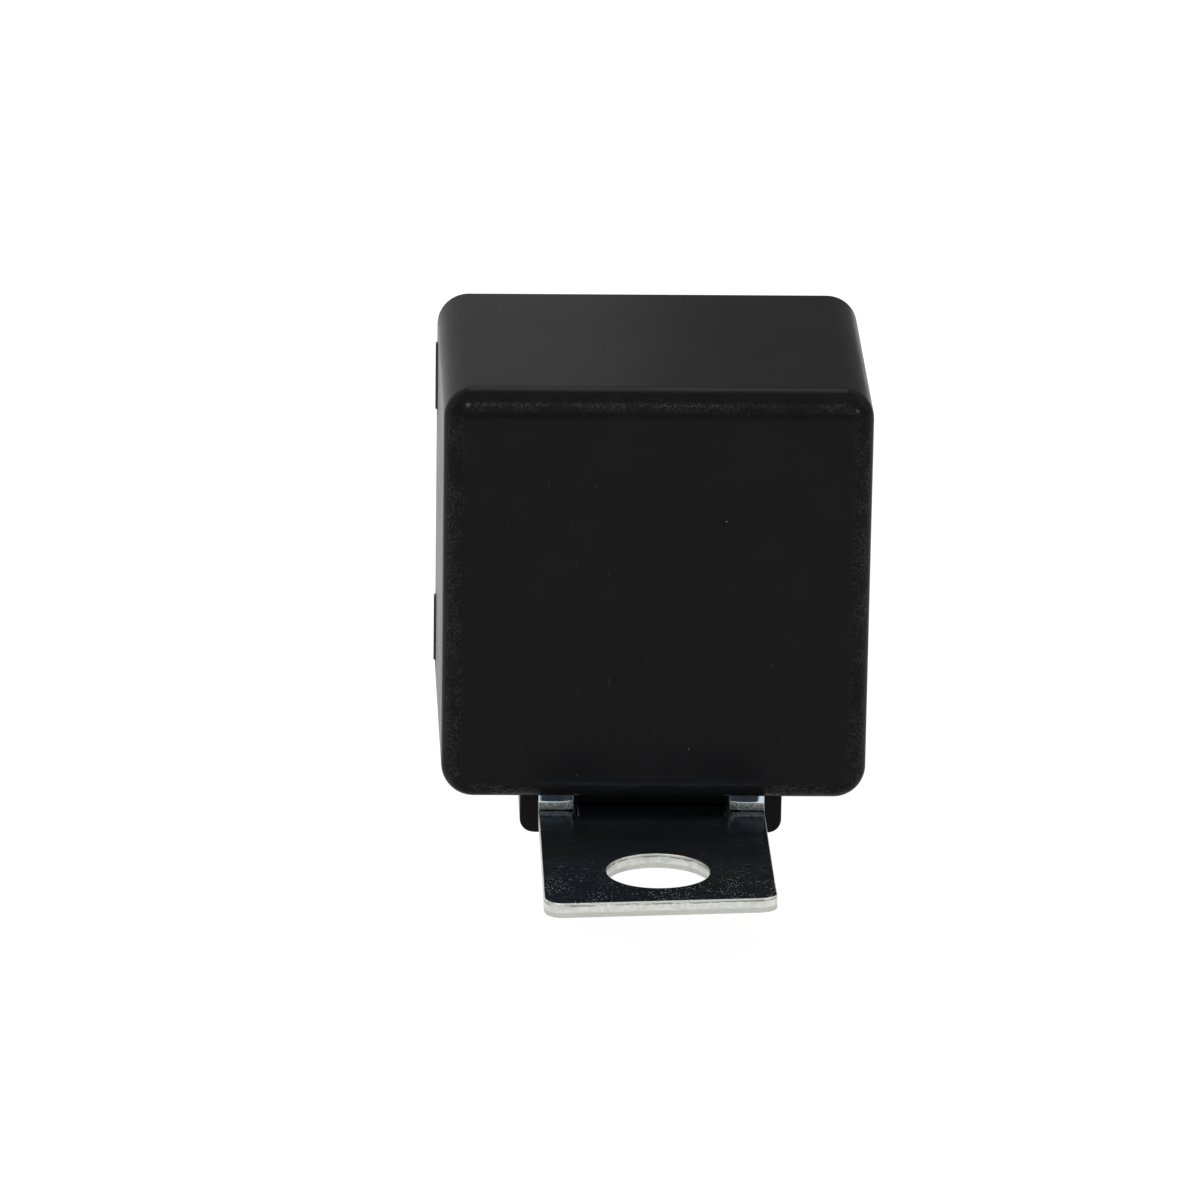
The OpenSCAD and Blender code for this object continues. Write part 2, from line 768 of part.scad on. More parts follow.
// The leaf runs up the yoke's back, turns over its edge and lies along the armature
module contact_spring() {
    out = yoke_y + yoke_t;
    a = open_angle;
    centre_y = out - spring_fold;
    rise = (armature_t - spring_fold - sin(a) * (centre_y - hinge_y)) / cos(a);
    centre_z = hinge_z + rise;
    color("#c99a5b") in_works() {
        difference() {
            translate([-spring_w / 2, out, spring_low])
                cube([spring_w, spring_t, centre_z - spring_low + eps]);
            for (x = [-1, 1])
                translate([x * back_rivet_x, out + 2, back_rivet_z]) rotate([90, 0, 0])
                    cylinder(r = rivet_r, h = 4);
            translate([0, out, centre_z]) cube([fold_slot_w, 4, 4], center = true);
        }
        for (x = [-1, 1])
            translate([x * (spring_w + fold_slot_w) / 4, centre_y, centre_z])
                across((spring_w - fold_slot_w) / 2) difference() {
                    intersection() {
                        circle(spring_fold + spring_t);
                        rotate(-a) translate([0, -0.2]) square(3);
                        square(3);
                    }
                    circle(spring_fold);
                }
        intersection() {
            on_armature() translate([0, 0, armature_t]) linear_extrude(spring_t) spring_plan();
            translate([0, centre_y, centre_z]) rotate([-a, 0, 0])
                translate([-10, -40, -5]) cube([20, 40 + 0.02, 10]);
        }
    }
}

module spring_rivets() {
    out = yoke_y + yoke_t + spring_t;
    color("#c4c6c8") in_works() for (x = [-1, 1])
        translate([x * back_rivet_x, yoke_y, back_rivet_z]) rotate([-90, 0, 0]) rotate_extrude()
            polygon([
                [0, 0], [rivet_r, 0], [rivet_r, out - yoke_y], [2 * rivet_r, out - yoke_y],
                [1.4, out - yoke_y + 0.25], [1.1, out - yoke_y + 0.5], [0, out - yoke_y + 0.5]
            ]);
}

// Half section of a contact head with a slightly domed face, from z = 0 upwards
module contact_section(d, tall) {
    intersection() {
        square([d / 2, tall]);
        translate([0, tall - dome_r]) circle(dome_r, $fn = 200);
    }
}

module moving_contact() {
    color("#d9d9d6") in_works() on_armature() translate([0, -contact_l, armature_t]) rotate_extrude() {
        translate([0, spring_t]) contact_section(contact_d, moving_high);
        mirror([0, 1]) contact_section(contact_d, moving_low);
        translate([0, -eps]) square([stem_r, spring_t + 2 * eps]);
    }
}

module no_contact() {
    color("#d9d9d6") in_works() translate([0, contact_y, flange_87]) rotate_extrude() {
        contact_section(contact_d, no_head);
        translate([0, -blade_t - eps]) square([fixed_stem_r, blade_t + 2 * eps]);
        translate([0, -blade_t - rivet_foot]) square([fixed_stem_r + 0.1, rivet_foot]);
    }
}

module nc_contact() {
    color("#d9d9d6") in_works() translate([0, nc_y, arm_87a]) rotate_extrude() {
        mirror([0, 1]) contact_section(contact_d, nc_head);
        translate([0, -eps]) square([fixed_stem_r, blade_t + eps]);
    }
}

cap();
mounting_bracket();
base();
terminal_30();
terminal_85();
terminal_86();
terminal_87();
terminal_87a();
yoke();
core();
bobbin();
winding();
coil_leads();
resistor_body();
resistor_leads();
armature();
armature_rivets();
contact_spring();
spring_rivets();
moving_contact();
no_contact();
nc_contact();
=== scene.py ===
"""Visual model of a five-blade automotive relay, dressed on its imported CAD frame.

The closed end of the cap faces -Y, the blades point along +Y, and the strap's hole is at the origin.
Meshes are drawn in millimetres and scaled to metres when a piece is finished.
"""
import logging
import math
from dataclasses import dataclass, field
from enum import Enum
from typing import Any, Mapping, Optional, Sequence, Union

import bmesh
import bpy
from mathutils import Matrix, Vector


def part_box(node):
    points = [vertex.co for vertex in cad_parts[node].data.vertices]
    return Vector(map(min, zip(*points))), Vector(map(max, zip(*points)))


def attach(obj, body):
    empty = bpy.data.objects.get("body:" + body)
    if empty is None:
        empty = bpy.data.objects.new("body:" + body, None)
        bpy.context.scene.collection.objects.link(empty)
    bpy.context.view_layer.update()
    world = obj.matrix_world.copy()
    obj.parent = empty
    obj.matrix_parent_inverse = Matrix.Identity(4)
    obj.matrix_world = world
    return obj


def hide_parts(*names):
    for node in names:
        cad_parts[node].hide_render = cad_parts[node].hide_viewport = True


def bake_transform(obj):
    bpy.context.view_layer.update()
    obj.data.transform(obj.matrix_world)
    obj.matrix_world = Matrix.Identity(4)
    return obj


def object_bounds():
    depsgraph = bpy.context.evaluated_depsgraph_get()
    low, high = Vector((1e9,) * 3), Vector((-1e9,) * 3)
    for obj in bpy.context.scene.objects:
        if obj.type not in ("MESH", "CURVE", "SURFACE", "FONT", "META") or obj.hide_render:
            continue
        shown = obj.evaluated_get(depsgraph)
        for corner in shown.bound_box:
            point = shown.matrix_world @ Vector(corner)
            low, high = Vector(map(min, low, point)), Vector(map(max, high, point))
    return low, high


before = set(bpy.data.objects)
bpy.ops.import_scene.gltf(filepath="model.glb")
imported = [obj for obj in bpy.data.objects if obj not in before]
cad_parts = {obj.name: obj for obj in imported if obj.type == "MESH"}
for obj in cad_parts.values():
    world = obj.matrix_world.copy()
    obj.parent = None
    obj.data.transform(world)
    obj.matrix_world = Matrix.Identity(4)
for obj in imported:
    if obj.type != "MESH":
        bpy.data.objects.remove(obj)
CAD_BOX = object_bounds()

LOG = logging.getLogger("relay")
MM = 0.001

Colour = tuple[float, float, float]
Corner = tuple[float, float, float]
Point = tuple[float, float]
Link = bpy.types.NodeSocket
Key = Union[str, int]
Value = Union["Term", float]

WHITE: Colour = (1.0, 1.0, 1.0)
WARM: Colour = (1.0, 0.88, 0.84)


# ---------------------------------------------------------------- shader trees


class Term:
    """A number in a shader tree. Arithmetic on it adds the Math nodes that it needs."""

    def __init__(self, shader: "Shader", socket: Link) -> None:
        """Keeps the tree and the socket that carries the number."""
        self.shader = shader
        self.socket = socket

    def _math(self, operation: str, *values: Value) -> "Term":
        """Adds one Math node.

        Args:
            operation: Blender's name of the operation.
            values: the operands, in the node's own order.

        Returns:
            The node's result.
        """
        node = self.shader.node("ShaderNodeMath", {"operation": operation}, dict(enumerate(values)))
        return Term(self.shader, node.outputs[0])

    def __add__(self, other: Value) -> "Term":
        """Sum."""
        return self._math("ADD", self, other)

    def __radd__(self, other: Value) -> "Term":
        """Sum, with the number on the left."""
        return self._math("ADD", other, self)

    def __sub__(self, other: Value) -> "Term":
        """Difference."""
        return self._math("SUBTRACT", self, other)

    def __rsub__(self, other: Value) -> "Term":
        """Difference, with the number on the left."""
        return self._math("SUBTRACT", other, self)

    def __mul__(self, other: Value) -> "Term":
        """Product."""
        return self._math("MULTIPLY", self, other)

    def __rmul__(self, other: Value) -> "Term":
        """Product, with the number on the left."""
        return self._math("MULTIPLY", other, self)

    def __abs__(self) -> "Term":
        """Size without its sign."""
        return self._math("ABSOLUTE", self)

    def __gt__(self, other: Value) -> "Term":
        """A mask that is 1 where this is the greater."""
        return self._math("GREATER_THAN", self, other)

    def __lt__(self, other: Value) -> "Term":
        """A mask that is 1 where this is the smaller."""
        return self._math("LESS_THAN", self, other)

    def most(self, other: Value) -> "Term":
        """The greater of two numbers."""
        return self._math("MAXIMUM", self, other)

    def ramp(self, start: float, end: float) -> "Term":
        """A smooth mask between two levels.

        Args:
            start: the level at which the mask is 0.
            end: the level at which the mask is 1.

        Returns:
            The mask.
        """
        node = self.shader.node(
            "ShaderNodeMapRange",
            {"interpolation_type": "SMOOTHSTEP"},
            {0: self, 1: start, 2: end, 3: 0.0, 4: 1.0},
        )
        return Term(self.shader, node.outputs[0])


Source = Union[Term, Link, float, Sequence[float]]


class Shader:
    """The node tree of a material or of the world, written from its coordinates to its output."""

    def __init__(self, name: str, of_world: bool = False) -> None:
        """Starts an empty tree with object coordinates in millimetres."""
        self.owner = (bpy.data.worlds if of_world else bpy.data.materials).new(name)
        self.owner.use_nodes = True
        self.tree = self.owner.node_tree
        self.tree.nodes.clear()
        coordinates = self.node("ShaderNodeTexCoord")
        self.at = self.vector("SCALE", coordinates.outputs["Object"], scale=1 / MM)

    def node(
        self,
        kind: str,
        settings: Optional[Mapping[str, Any]] = None,
        inputs: Optional[Mapping[Key, Source]] = None,
    ) -> bpy.types.Node:
        """Adds a node.

        Args:
            kind: Blender's type name of the node.
            settings: properties, set before the sockets.
            inputs: values or links, by socket name or number.

        Returns:
            The node.
        """
        made = self.tree.nodes.new(kind)
        for key, value in (settings or {}).items():
            setattr(made, key, value)
        for key, source in (inputs or {}).items():
            socket = made.inputs[key]
            if isinstance(source, Term):
                self.tree.links.new(source.socket, socket)
            elif isinstance(source, Link):
                self.tree.links.new(source, socket)
            elif socket.type == "RGBA" and len(source) == 3:
                socket.default_value = (*source, 1.0)
            else:
                socket.default_value = source
        return made

    def number(self, node: bpy.types.Node, output: Key = 0) -> Term:
        """One output of a node as a number."""
        return Term(self, node.outputs[output])

    def mix(self, factor: Source, low: Source, high: Source) -> Link:
        """Mixes two colours.

        Args:
            factor: 0 gives low, 1 gives high.
            low: the first colour.
            high: the second colour.

        Returns:
            The mixed colour.
        """
        node = self.node("ShaderNodeMix", {"data_type": "RGBA"}, {0: factor, 6: low, 7: high})
        return node.outputs[2]

    def vector(
        self, operation: str, first: Source, second: Optional[Source] = None, scale: float = 1.0
    ) -> Link:
        """Adds one Vector Math node.

        Args:
            operation: Blender's name of the operation.
            first: the vector that it acts on.
            second: the other vector, where it has one.
            scale: the factor of a SCALE operation.

        Returns:
            The node's vector.
        """
        inputs: dict[Key, Source] = {0: first}
        if second is not None:
            inputs[1] = second
        if operation == "SCALE":
            inputs["Scale"] = scale
        return self.node("ShaderNodeVectorMath", {"operation": operation}, inputs).outputs[0]

    def axis(self, name: str) -> Term:
        """One coordinate, X, Y or Z, in millimetres."""
        return self.number(self.node("ShaderNodeSeparateXYZ", inputs={0: self.at}), name)

    def stretched(self, x: float, y: float, z: float, turn_deg: float = 0.0) -> Link:
        """Coordinates counted in cells of a given size.

        Args:
            x: a cell's length along X in millimetres, after the turn.
            y: its length along Y.
            z: its length along Z.
            turn_deg: turn about Z before the cells are counted.

        Returns:
            The coordinates.
        """
        turned = self.node(
            "ShaderNodeVectorRotate",
            {"rotation_type": "Z_AXIS"},
            {"Vector": self.at, "Angle": math.radians(turn_deg)},
        )
        return self.vector("MULTIPLY", turned.outputs[0], (1 / x, 1 / y, 1 / z))

    def noise(
        self, size: float, detail: float = 2.0, rough: float = 0.5, at: Optional[Source] = None
    ) -> Term:
        """Soft noise from 0 to 1.

        Args:
            size: size of its patches in millimetres, or in cells where at is given.
            detail: how many finer layers it has.
            rough: how strong they are.
            at: coordinates other than the plain ones.

        Returns:
            The noise.
        """
        inputs: dict[Key, Source] = {
            "Vector": at or self.at, "Scale": 1 / size, "Detail": detail, "Roughness": rough,
        }
        return self.number(self.node("ShaderNodeTexNoise", {"noise_dimensions": "3D"}, inputs), 0)

    def pits(self, size: float) -> Term:
        """Distance from the middle of the nearest cell of an eroded surface, with cells of this size."""
        inputs: dict[Key, Source] = {"Vector": self.at, "Scale": 1 / size}
        return self.number(self.node("ShaderNodeTexVoronoi", {"feature": "F1"}, inputs), "Distance")

    def specks(self, share: float, radius: float, at: Link) -> Term:
        """Scattered spots, or streaks where the cells are stretched.

        Args:
            share: the share of cells that hold one.
            radius: its radius in cells.
            at: coordinates in cells.

        Returns:
            A mask that is 1 on the spots.
        """
        cells = self.node("ShaderNodeTexVoronoi", {"feature": "F1"}, {"Vector": at, "Scale": 1.0})
        pick = self.number(self.node("ShaderNodeSeparateColor", inputs={0: cells.outputs["Color"]}), 0)
        near = self.number(cells, "Distance").ramp(radius, 0.6 * radius)
        return near * (pick > 1.0 - share)

    def bump(
        self, height: Term, depth: float, under: Optional[Link] = None
    ) -> Link:
        """Relief of a given depth.

        Args:
            height: the relief, from 0 to 1.
            depth: what 1 stands for, in millimetres.
            under: another relief that it lies on.

        Returns:
            The normal.
        """
        inputs: dict[Key, Source] = {"Distance": depth * MM, "Height": height}
        if under is not None:
            inputs["Normal"] = under
        return self.node("ShaderNodeBump", inputs=inputs).outputs[0]

    def surface(self, inputs: Mapping[Key, Source]) -> bpy.types.Material:
        """Ends the tree in a Principled surface and returns the material."""
        body = self.node("ShaderNodeBsdfPrincipled", inputs=inputs)
        self.node("ShaderNodeOutputMaterial", inputs={"Surface": body.outputs[0]})
        return self.owner


# ---------------------------------------------------------------- finishes


@dataclass(frozen=True)
class MouldedPlastic:
    """Dull moulded plastic with a fine eroded texture, a little dust and hairline marks.

    Where it has a skin, the rubbed stretch between two places along Y glitters in patches.
    """

    name: str
    colour: Colour
    roughness: float = 0.5
    specular: float = 0.5
    skin: float = 0.0
    grain: float = 0.16
    depth: float = 0.006
    rubbed: Optional[Point] = None
    rubbed_fade: Point = (0.4, 0.15)
    glitter: float = 0.17
    dust: float = 0.05
    dust_colour: Colour = (0.2, 0.19, 0.18)

    def _gloss(self, s: Shader) -> Value:
        """How much of the glossy skin shows."""
        if not self.rubbed:
            return self.skin
        first, last = self.rubbed
        fade_in, fade_out = self.rubbed_fade
        y = s.axis("Y")
        rubbed = y.ramp(last, last - fade_in) * y.ramp(first - fade_out, first)
        patches = s.noise(1.6, 2.0).ramp(0.3, 0.6)
        sparkle = s.noise(self.glitter, 2.0, 0.8).ramp(0.42, 0.62) * (0.4 + 1.9 * patches)
        return self.skin * (1.0 - 0.6 * rubbed + 1.3 * rubbed * sparkle)

    def material(self) -> bpy.types.Material:
        """Builds the material."""
        s = Shader(self.name)
        cloud = s.noise(4.0, 3.0, 0.6)
        relief = s.noise(self.grain, 3.0, 0.7) + 0.8 * s.pits(1.7 * self.grain)
        sink = s.noise(9.0, 1.0)
        dust = s.specks(self.dust, 0.055, s.stretched(1.1, 1.1, 1.1))
        grit = s.specks(0.5 * self.dust, 0.09, s.stretched(0.5, 0.5, 0.5))
        marks = s.specks(0.4 * self.dust, 0.16, s.stretched(2.4, 0.14, 2.4, 35.0))
        marks = marks.most(s.specks(0.4 * self.dust, 0.16, s.stretched(0.16, 2.2, 1.9, -20.0)))
        shade = s.mix(cloud.ramp(0.3, 0.7), tuple(0.86 * c for c in self.colour), self.colour)
        return s.surface({
            "Base Color": s.mix(0.8 * dust + 0.4 * grit + 0.09 * marks, shade, self.dust_colour),
            "Roughness": self.roughness - 0.05 + 0.1 * cloud,
            "Specular IOR Level": self.specular,
            "Coat Weight": self._gloss(s),
            "Coat Roughness": self.roughness,
            "Normal": s.bump(relief, self.depth, s.bump(sink, 0.05)),
        })


class Lay(Enum):
    """The way in which the fine lines of a metal surface run."""

    ROLLED_Y = (0.06, 5.0, 0.5)
    ROLLED_Z = (0.06, 0.5, 5.0)
    TUMBLED = (0.4, 0.4, 0.4)
    # Small even cells: fine relief, and on the fold also the dark flecks in its painted highlight.
    RELIEF_AND_HIGHLIGHT_FLECKS = (0.14, 0.14, 0.14)


@dataclass(frozen=True)
class PlatedMetal:
    """Plated or bare metal with rolling lines, handling scratches and slight cloudy tints."""

    name: str
    colour: Colour
    tint: Colour
    roughness: float = 0.25
    lay: Lay = Lay.ROLLED_Y
    line_depth: float = 0.0015
    scratches: float = 0.14
    wear: float = 0.25
    haze: float = 0.0
    flecked: bool = False
    worn: Optional[Point] = None

    def material(self) -> bpy.types.Material:
        """Builds the material."""
        s = Shader(self.name)
        cloud = s.noise(3.5, 3.0, 0.6)
        lines = s.noise(1.0, 3.0, 0.65, s.stretched(*self.lay.value))
        share = self.scratches
        scratch = s.specks(share, 0.22, s.stretched(1.6, 0.11, 1.6, 24.0))
        scratch = scratch.most(s.specks(share, 0.2, s.stretched(1.1, 0.09, 1.3, -38.0)))
        scratch = scratch.most(s.specks(0.7 * share, 0.2, s.stretched(0.1, 1.5, 1.2, 9.0)))
        scratch = scratch.most(s.specks(share, 0.12, s.stretched(0.45, 0.45, 0.45)))
        patchy = scratch * s.noise(2.6, 2.0).ramp(0.35, 0.65)
        if self.worn:
            near = s.axis("Y").ramp(*self.worn)
            fine = s.specks(0.7, 0.3, s.stretched(0.26, 0.16, 0.4, 50.0))
            fine = fine * s.noise(1.6, 2.0).ramp(0.3, 0.6)
            patchy = (patchy * (0.35 + 0.5 * near)).most(near * fine)
        return s.surface({
            # A flecked finish takes its flecks of colour from the fine lines; the fold's painted highlight
            # is the only flecked one.
            "Base Color": s.mix((lines if self.flecked else cloud).ramp(0.35, 0.7), self.colour, self.tint),
            "Metallic": 1.0 - self.haze - 0.5 * patchy,
            "Roughness": self.roughness - 0.04 + 0.06 * lines + 0.05 * cloud + self.wear * patchy,
            "Normal": s.bump(patchy, 0.004, s.bump(lines, self.line_depth)),
        })


@dataclass(frozen=True)
class Twist:
    """How handling has bent the strap's free end: its tip leans, with the right corner high."""

    lean: float = 0.033
    about: float = -3.1
    start: float = -0.5
    tip: float = -6.0


@dataclass(frozen=True)
class ShearedEdge:
    """The cut edge of a plated sheet: burnished above, torn and duller below, with marks of the cut and a
    dark line of painted shade a little below its top.
    """

    name: str
    colour: Colour
    torn: Colour
    sheet: float = 1.0
    twist: Twist = Twist()

    def material(self) -> bpy.types.Material:
        """Builds the material."""
        s = Shader(self.name)
        twist = self.twist
        bent = ((s.axis("Y") - twist.start) * (1 / (twist.tip - twist.start))).most(0.0)
        level = s.axis("Z") - twist.lean * (s.axis("X") - twist.about) * bent * bent
        level = level * (1 / self.sheet) + 0.16 * s.noise(0.8, 2.0) - 0.08
        mottle = s.noise(0.4, 3.0, 0.7).ramp(0.36, 0.64)
        grit = s.noise(0.11, 3.0, 0.7)
        strokes = s.noise(1.0, 3.0, 0.6, s.stretched(0.09, 0.09, 1.4))
        # Painted shade: a dark, patchy line along the edge a little below its top.
        painted_shade_line = level.ramp(0.74, 0.8) * level.ramp(0.9, 0.84) * s.noise(0.9, 2.0).ramp(0.36, 0.56)
        torn = level.ramp(0.42, 0.3)
        shade = s.mix((0.5 * mottle).most(0.8 * torn), self.colour, self.torn)
        shade = s.mix(0.3 * grit + 0.65 * painted_shade_line, shade, tuple(0.25 * c for c in self.torn))
        return s.surface({
            "Base Color": shade,
            "Metallic": 0.92,
            "Roughness": 0.3 + 0.16 * torn + 0.14 * grit + 0.1 * mottle,
            "Normal": s.bump(strokes + 0.5 * grit + 0.5 * mottle, 0.016),
        })


@dataclass(frozen=True)
class LacqueredWire:
    """Copper wire under a thin clear lacquer."""

    name: str
    colour: Colour
    dark: Colour

    def material(self) -> bpy.types.Material:
        """Builds the material."""
        s = Shader(self.name)
        cloud = s.noise(1.2, 3.0, 0.6)
        return s.surface({
            "Base Color": s.mix(cloud.ramp(0.3, 0.75), self.colour, self.dark),
            "Metallic": 0.85,
            "Roughness": 0.24 + 0.12 * cloud,
            "Coat Weight": 0.6,
            "Coat Roughness": 0.15,
            "Normal": s.bump(s.noise(0.3, 2.0), 0.002),
        })


@dataclass(frozen=True)
class BandedLacquer:
    """A resistor's lacquer with its plain colour bands, counted along X."""

    name: str
    colour: Colour
    bands: Sequence[tuple[float, Colour]]
    band_width: float = 0.5

    def material(self) -> bpy.types.Material:
        """Builds the material."""
        s = Shader(self.name)
        along = s.axis("X")
        shade: Source = self.colour
        for place, colour in self.bands:
            inside = abs(along - place) < 0.5 * self.band_width
            shade = s.mix(inside, shade, colour)
        return s.surface({
            "Base Color": s.mix(0.25 * s.noise(0.8, 3.0), shade, (0.1, 0.08, 0.05)),
            "Roughness": 0.22 + 0.1 * s.noise(0.5, 2.0),
            "Coat Weight": 0.4,
            "Coat Roughness": 0.1,
            "Normal": s.bump(s.noise(0.4, 2.0), 0.004),
        })


Finish = Union[MouldedPlastic, PlatedMetal, ShearedEdge, LacqueredWire, BandedLacquer]

CAP_PLASTIC = MouldedPlastic(
    "cap_plastic", (0.0088, 0.009, 0.0101), roughness=0.22, specular=0.003, skin=0.094, grain=0.22,
    rubbed=(8.4, 9.4),
)
BASE_PLASTIC = MouldedPlastic(
    "base_plastic", (0.014, 0.0138, 0.0142), roughness=0.42, specular=0.3, grain=0.3, depth=0.004, dust=0.03
)
BOBBIN_PLASTIC = MouldedPlastic(
    "bobbin_plastic", (0.62, 0.55, 0.38), roughness=0.4, grain=0.25, depth=0.003, dust=0.02,
    dust_colour=(0.3, 0.26, 0.2),
)
STRAP_ZINC = PlatedMetal(
    "strap_zinc", (0.48, 0.6, 0.72), (0.54, 0.62, 0.66), roughness=0.1, haze=0.018, worn=(3.0, -5.0)
)
# Painted highlight: the near-white colour and its large matt share stand in for the bright line of light
# along the inside of the ears' fold. The dark flecks break that line up, and the roughness and relief are
# the worked metal of the fold.
FOLD_PAINTED_HIGHLIGHT = PlatedMetal(
    "fold_painted_highlight", (0.97, 1.0, 0.99), (0.2, 0.23, 0.24), roughness=0.3, lay=Lay.RELIEF_AND_HIGHLIGHT_FLECKS, line_depth=0.1,
    haze=0.45, flecked=True,
)
STRAP_EDGE = ShearedEdge("strap_edge", (0.8, 0.82, 0.78), (0.6, 0.61, 0.58))
BLADE_TIN = PlatedMetal("blade_tin", (0.66, 0.655, 0.63), (0.58, 0.57, 0.53), roughness=0.3, scratches=0.08)
MAGNET_IRON = PlatedMetal(
    "magnet_iron", (0.45, 0.46, 0.48), (0.4, 0.4, 0.4), roughness=0.36, lay=Lay.ROLLED_Z, line_depth=0.002
)
RIVET_STEEL = PlatedMetal(
    "rivet_steel", (0.6, 0.61, 0.62), (0.52, 0.52, 0.5), roughness=0.3, lay=Lay.TUMBLED
)
SPRING_BRONZE = PlatedMetal(
    "spring_bronze", (0.72, 0.47, 0.24), (0.62, 0.4, 0.2), roughness=0.24, lay=Lay.ROLLED_Z,
    line_depth=0.001,
)
CONTACT_SILVER = PlatedMetal(
    "contact_silver", (0.82, 0.81, 0.77), (0.7, 0.69, 0.64), roughness=0.28, lay=Lay.TUMBLED, scratches=0.04
)
TINNED_WIRE = PlatedMetal("tinned_wire", (0.7, 0.7, 0.7), (0.6, 0.6, 0.58), roughness=0.3, lay=Lay.TUMBLED)
COPPER_WIRE = LacqueredWire("copper_wire", (0.66, 0.27, 0.1), (0.4, 0.13, 0.05))
RESISTOR_COAT = BandedLacquer(
    "resistor_coat",
    (0.5, 0.38, 0.2),
    (
        (-2.0, (0.02, 0.07, 0.3)), (-1.0, (0.2, 0.2, 0.2)),
        (0.1, (0.12, 0.05, 0.02)), (1.9, (0.5, 0.33, 0.08)),
    ),
)


# ---------------------------------------------------------------- mesh tools


def arc(centre: Point, radius: float, start_deg: float, end_deg: float, steps: int) -> list[Point]:
    """Points along an arc.

    Args:
        centre: the arc's centre.
        radius: its radius.
        start_deg: the angle of the first point.
        end_deg: the angle of the last point.
        steps: the number of steps between them.

    Returns:
        steps + 1 points.
    """
    points = []
    for i in range(steps + 1):
        angle = math.radians(start_deg + (end_deg - start_deg) * i / steps)
        points.append((centre[0] + radius * math.cos(angle), centre[1] + radius * math.sin(angle)))
    return points


def rounded_rectangle(low: Point, high: Point, radius: float, steps: int = 10) -> list[Point]:
    """The outline of a rectangle with round corners.

    Args:
        low: its lowest corner.
        high: its highest corner.
        radius: the radius of its corners.
        steps: the number of steps round each corner.

    Returns:
        The points, counter-clockwise from the lower right corner.
    """
    r = radius
    points = arc((high[0] - r, low[1] + r), r, -90, 0, steps)
    points += arc((high[0] - r, high[1] - r), r, 0, 90, steps)
    points += arc((low[0] + r, high[1] - r), r, 90, 180, steps)
    points += arc((low[0] + r, low[1] + r), r, 180, 270, steps)
    return points


def skin(rings: Sequence[Sequence[Vector]], closed: bool = False) -> bmesh.types.BMesh:
    """A closed skin through a stack of rings with equally many points.

    Args:
        rings: the rings in order.
        closed: whether the last ring joins the first; otherwise both ends are filled.

    Returns:
        The mesh, with its normals outwards.
    """
    bm = bmesh.new()
    loops = [[bm.verts.new(p) for p in ring] for ring in rings]
    pairs = list(zip(loops, loops[1:]))
    if closed:
        pairs.append((loops[-1], loops[0]))
    else:
        bm.faces.new(loops[0])
        bm.faces.new(loops[-1])
    for first, second in pairs:
        for i in range(len(first)):
            j = (i + 1) % len(first)
            bm.faces.new((first[i], first[j], second[j], second[i]))
    bmesh.ops.recalc_face_normals(bm, faces=bm.faces)
    return bm


def flared_box(
    centre: Vector, half: Vector, axis: int, sign: int, flare: float, lip: float
) -> bmesh.types.BMesh:
    """A box cutter whose outer end opens out, so that it leaves a chamfered edge.

    Args:
        centre: its centre.
        half: its half sizes.
        axis: the direction in which it opens, 0 to 2.
        sign: 1 or -1, the end that opens.
        flare: how far it opens out on each side.
        lip: how far from that end the opening starts.

    Returns:
        The mesh.
    """
    across = [i for i in range(3) if i != axis]
    rings = []
    stations = [(-half[axis], 0.0), (half[axis] - 2 * lip, 0.0), (half[axis], flare * 2)]
    for along, grow in stations:
        ring = []
        for u, v in ((-1, -1), (1, -1), (1, 1), (-1, 1)):
            p = centre.copy()
            p[axis] += sign * along
            p[across[0]] += u * (half[across[0]] + grow)
            p[across[1]] += v * (half[across[1]] + grow)
            ring.append(p)
        rings.append(ring)
    return skin(rings)


def put(name: str, data: bpy.types.ID) -> bpy.types.Object:
    """Puts data into the scene as a new object."""
    made = bpy.data.objects.new(name, data)
    bpy.context.scene.collection.objects.link(made)
    return made


def evaluated_mesh(thing: bpy.types.Object) -> bpy.types.Mesh:
    """The mesh that an object's curve or modifiers give."""
    graph = bpy.context.evaluated_depsgraph_get()
    return bpy.data.meshes.new_from_object(thing.evaluated_get(graph))


def as_object(bm: bmesh.types.BMesh, name: str) -> bpy.types.Object:
    """Turns a mesh into an object of the scene and frees it."""
    mesh = bpy.data.meshes.new(name)
    bm.to_mesh(mesh)
    bm.free()
    return put(name, mesh)


def combine(target: bpy.types.Object, tool: bmesh.types.BMesh, operation: str) -> None:
    """Adds a solid to an object or cuts it away.

    Args:
        target: the object that is changed.
        tool: the solid; it is used up.
        operation: UNION or DIFFERENCE.
    """
    other = as_object(tool, "tool")
    step = target.modifiers.new("step", "BOOLEAN")
    step.operation = operation
    step.solver = "EXACT"
    step.object = other
    mesh = evaluated_mesh(target)
    target.modifiers.clear()
    target.data = mesh
    bpy.data.objects.remove(other)


def set_shading(mesh: bpy.types.Mesh, sharp_deg: float) -> None:
    """Shades a mesh smooth, with hard edges wherever its faces turn by more than an angle."""
    bm = bmesh.new()
    bm.from_mesh(mesh)
    for face in bm.faces:
        face.smooth = True
    for edge in bm.edges:
        edge.smooth = edge.is_manifold and edge.calc_face_angle(0.0) < math.radians(sharp_deg)
    bm.to_mesh(mesh)
    bm.free()


